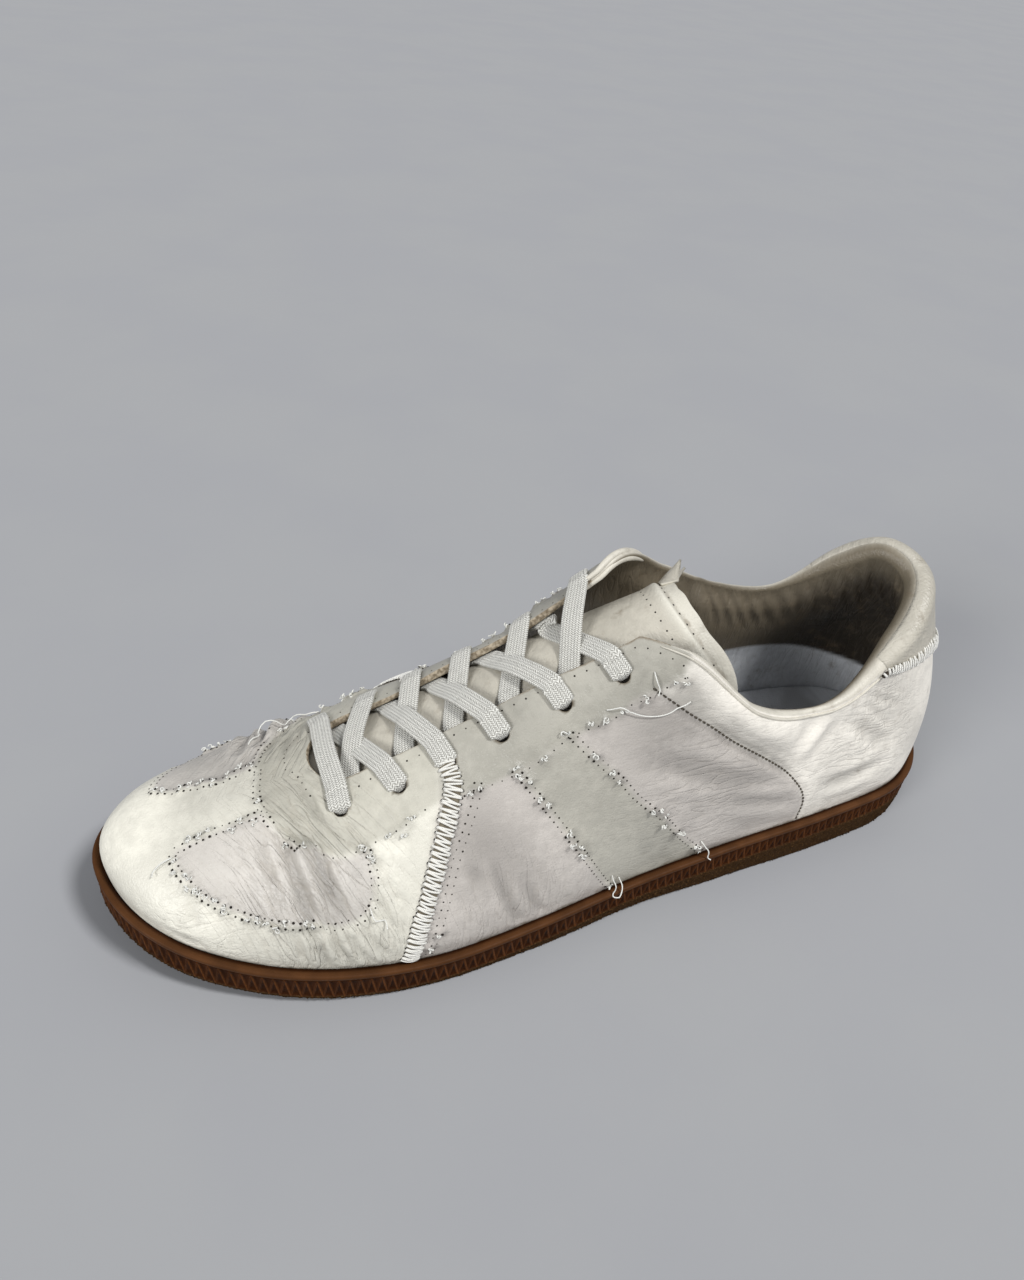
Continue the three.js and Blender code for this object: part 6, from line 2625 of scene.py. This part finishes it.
@dataclass(frozen=True)
class Studio:
    """The photo's camera, a pale floor and soft light."""

    target: tuple[float, float, float] = (135.9, -77.6, 19.5)
    azimuth: float = 23.1
    elevation: float = 39.7
    roll: float = 7.1
    distance: float = 400.0
    focal: float = 976.1
    frame_height: float = 1280.0
    sensor: float = 36.0
    floor_size: float = 6.0
    sky: Colour = srgb(248, 250, 255)
    sky_power: float = 0.36
    key: Lamp = Lamp("key", (-0.38, 0.36, 0.85), 12.0, 2.3)
    side: Lamp = Lamp("side", (0.8, 0.4, 0.4), 24.0, 1.85)

    def build_camera(self, shop: Workshop) -> None:
        """Sets the camera where the photo was taken from."""
        turn, climb, roll = (math.radians(v) for v in (self.azimuth, self.elevation, self.roll))
        back = np.array([math.sin(turn) * math.cos(climb), math.cos(turn) * math.cos(climb), math.sin(climb)])
        side = unit(np.cross((0, 0, 1), back))
        rise = np.cross(back, side)
        right = math.cos(roll) * side + math.sin(roll) * rise
        up = math.cos(roll) * rise - math.sin(roll) * side
        lens = bpy.data.cameras.new("photo_camera")
        lens.sensor_width = self.sensor
        lens.lens = self.focal / self.frame_height * self.sensor
        lens.clip_start = 0.01
        lens.dof.use_dof = False
        camera = bpy.data.objects.new("photo_camera", lens)
        place = shop.place(np.array(self.target) + self.distance * back)
        matrix = Matrix(np.column_stack([right, up, back]).tolist()).to_4x4()
        matrix.translation = Vector(place.tolist())
        camera.matrix_world = matrix
        bpy.context.scene.collection.objects.link(camera)
        bpy.context.scene.camera = camera

    def build_floor(self, material: Material) -> None:
        """Lays the floor."""
        half = self.floor_size / 2
        corners = [(-half, -half, 0), (half, -half, 0), (half, half, 0), (-half, half, 0)]
        mesh = bpy.data.meshes.new("floor")
        mesh.from_pydata(corners, [], [(0, 1, 2, 3)])
        mesh.materials.append(material)
        floor = bpy.data.objects.new("floor", mesh)
        bpy.context.scene.collection.objects.link(floor)

    def build_light(self) -> None:
        """Sets the lamps, the pale surroundings and a plain view of the colours."""
        world = bpy.data.worlds.new("studio")
        world.use_nodes = True
        ground = world.node_tree.nodes["Background"]
        ground.inputs["Color"].default_value = self.sky
        ground.inputs["Strength"].default_value = self.sky_power
        bpy.context.scene.world = world
        bpy.context.scene.view_settings.view_transform = "Standard"
        self.key.build()
        self.side.build()


FINISHES = (
    LeatherFinish("worn_leather"),
    LeatherFinish("lining_leather", rough=(0.42, 0.6), grain_depth=0.05),
    PlainFinish("cut_edge", srgb(170, 158, 138), srgb(114, 102, 84), 0.9),
    # Near-black discs for the needle holes: painted shade.
    PlainFinish("needle_hole_shade", srgb(26, 22, 17), srgb(46, 40, 33), 1.2),
    # Dark tubes in the gap under the whip stitches: painted shade.
    PlainFinish("gap_shade", srgb(40, 34, 28), srgb(66, 58, 48), 0.9),
    PlainFinish("heel_thread", srgb(82, 75, 64), srgb(56, 51, 44), 2.0),
    # Dark strip under the vamp seam's thread: painted shade between the stitches.
    PlainFinish("seam_strip_shade", srgb(124, 116, 99), srgb(98, 90, 76), 0.7),
    GumFinish("gum"),
    BoardFinish("foot_bed_cloth"),
    CottonFinish("lace_cotton", srgb(236, 235, 227), srgb(146, 143, 134), 0.7, 0.34),
    CottonFinish("seam_cotton", srgb(243, 242, 236), srgb(205, 201, 190), 0.5, 0.08, 0.1),
    CottonFinish("cut_cotton", srgb(240, 240, 234), srgb(206, 204, 196), 0.4, 0.05, 0.0),
    PlainFinish("floor_paper", srgb(157, 158, 160), srgb(155, 156, 159), 0.01, depth=0.02),
)


def main() -> None:
    """Builds the shoe and its studio."""
    logging.basicConfig(level=logging.INFO, format="%(message)s")
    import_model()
    last = Last()
    shop = Workshop.from_frame(last)
    effects = Effects()
    kinds = {finish.name: finish.material(effects) for finish in FINISHES}
    leather, hole, thread = kinds["worn_leather"], kinds["needle_hole_shade"], kinds["seam_cotton"]

    Sole(last).build(shop, kinds["gum"])
    Insole(last).build(shop, kinds["foot_bed_cloth"])
    upper = Upper(last)
    upper.build(shop, [leather, kinds["cut_edge"], kinds["lining_leather"]])
    for side in Side:
        VampSeam(upper, side).build(shop, [thread, kinds["seam_strip_shade"], hole])
    tab = HeelTab(upper)
    tab.build(shop, leather)
    tab.build_whipping(shop, [thread, kinds["gap_shade"]])
    tab.build_piping(shop, leather)
    needlework = Needlework(upper)
    needlework.build_holes(shop, hole)
    needlework.build_ends(shop, kinds["cut_cotton"])
    needlework.build_heel_seam(shop, kinds["heel_thread"])
    tongue = Tongue(last)
    tongue.build(shop, leather)
    trim = TongueTrim(tongue)
    trim.build_holes(shop, hole)
    trim.build_torn_corner(shop, leather)
    Lace(upper, tongue).build(shop, kinds["lace_cotton"])

    studio = Studio()
    studio.build_camera(shop)
    studio.build_floor(kinds["floor_paper"])
    studio.build_light()


if __name__ == "__main__":
    main()
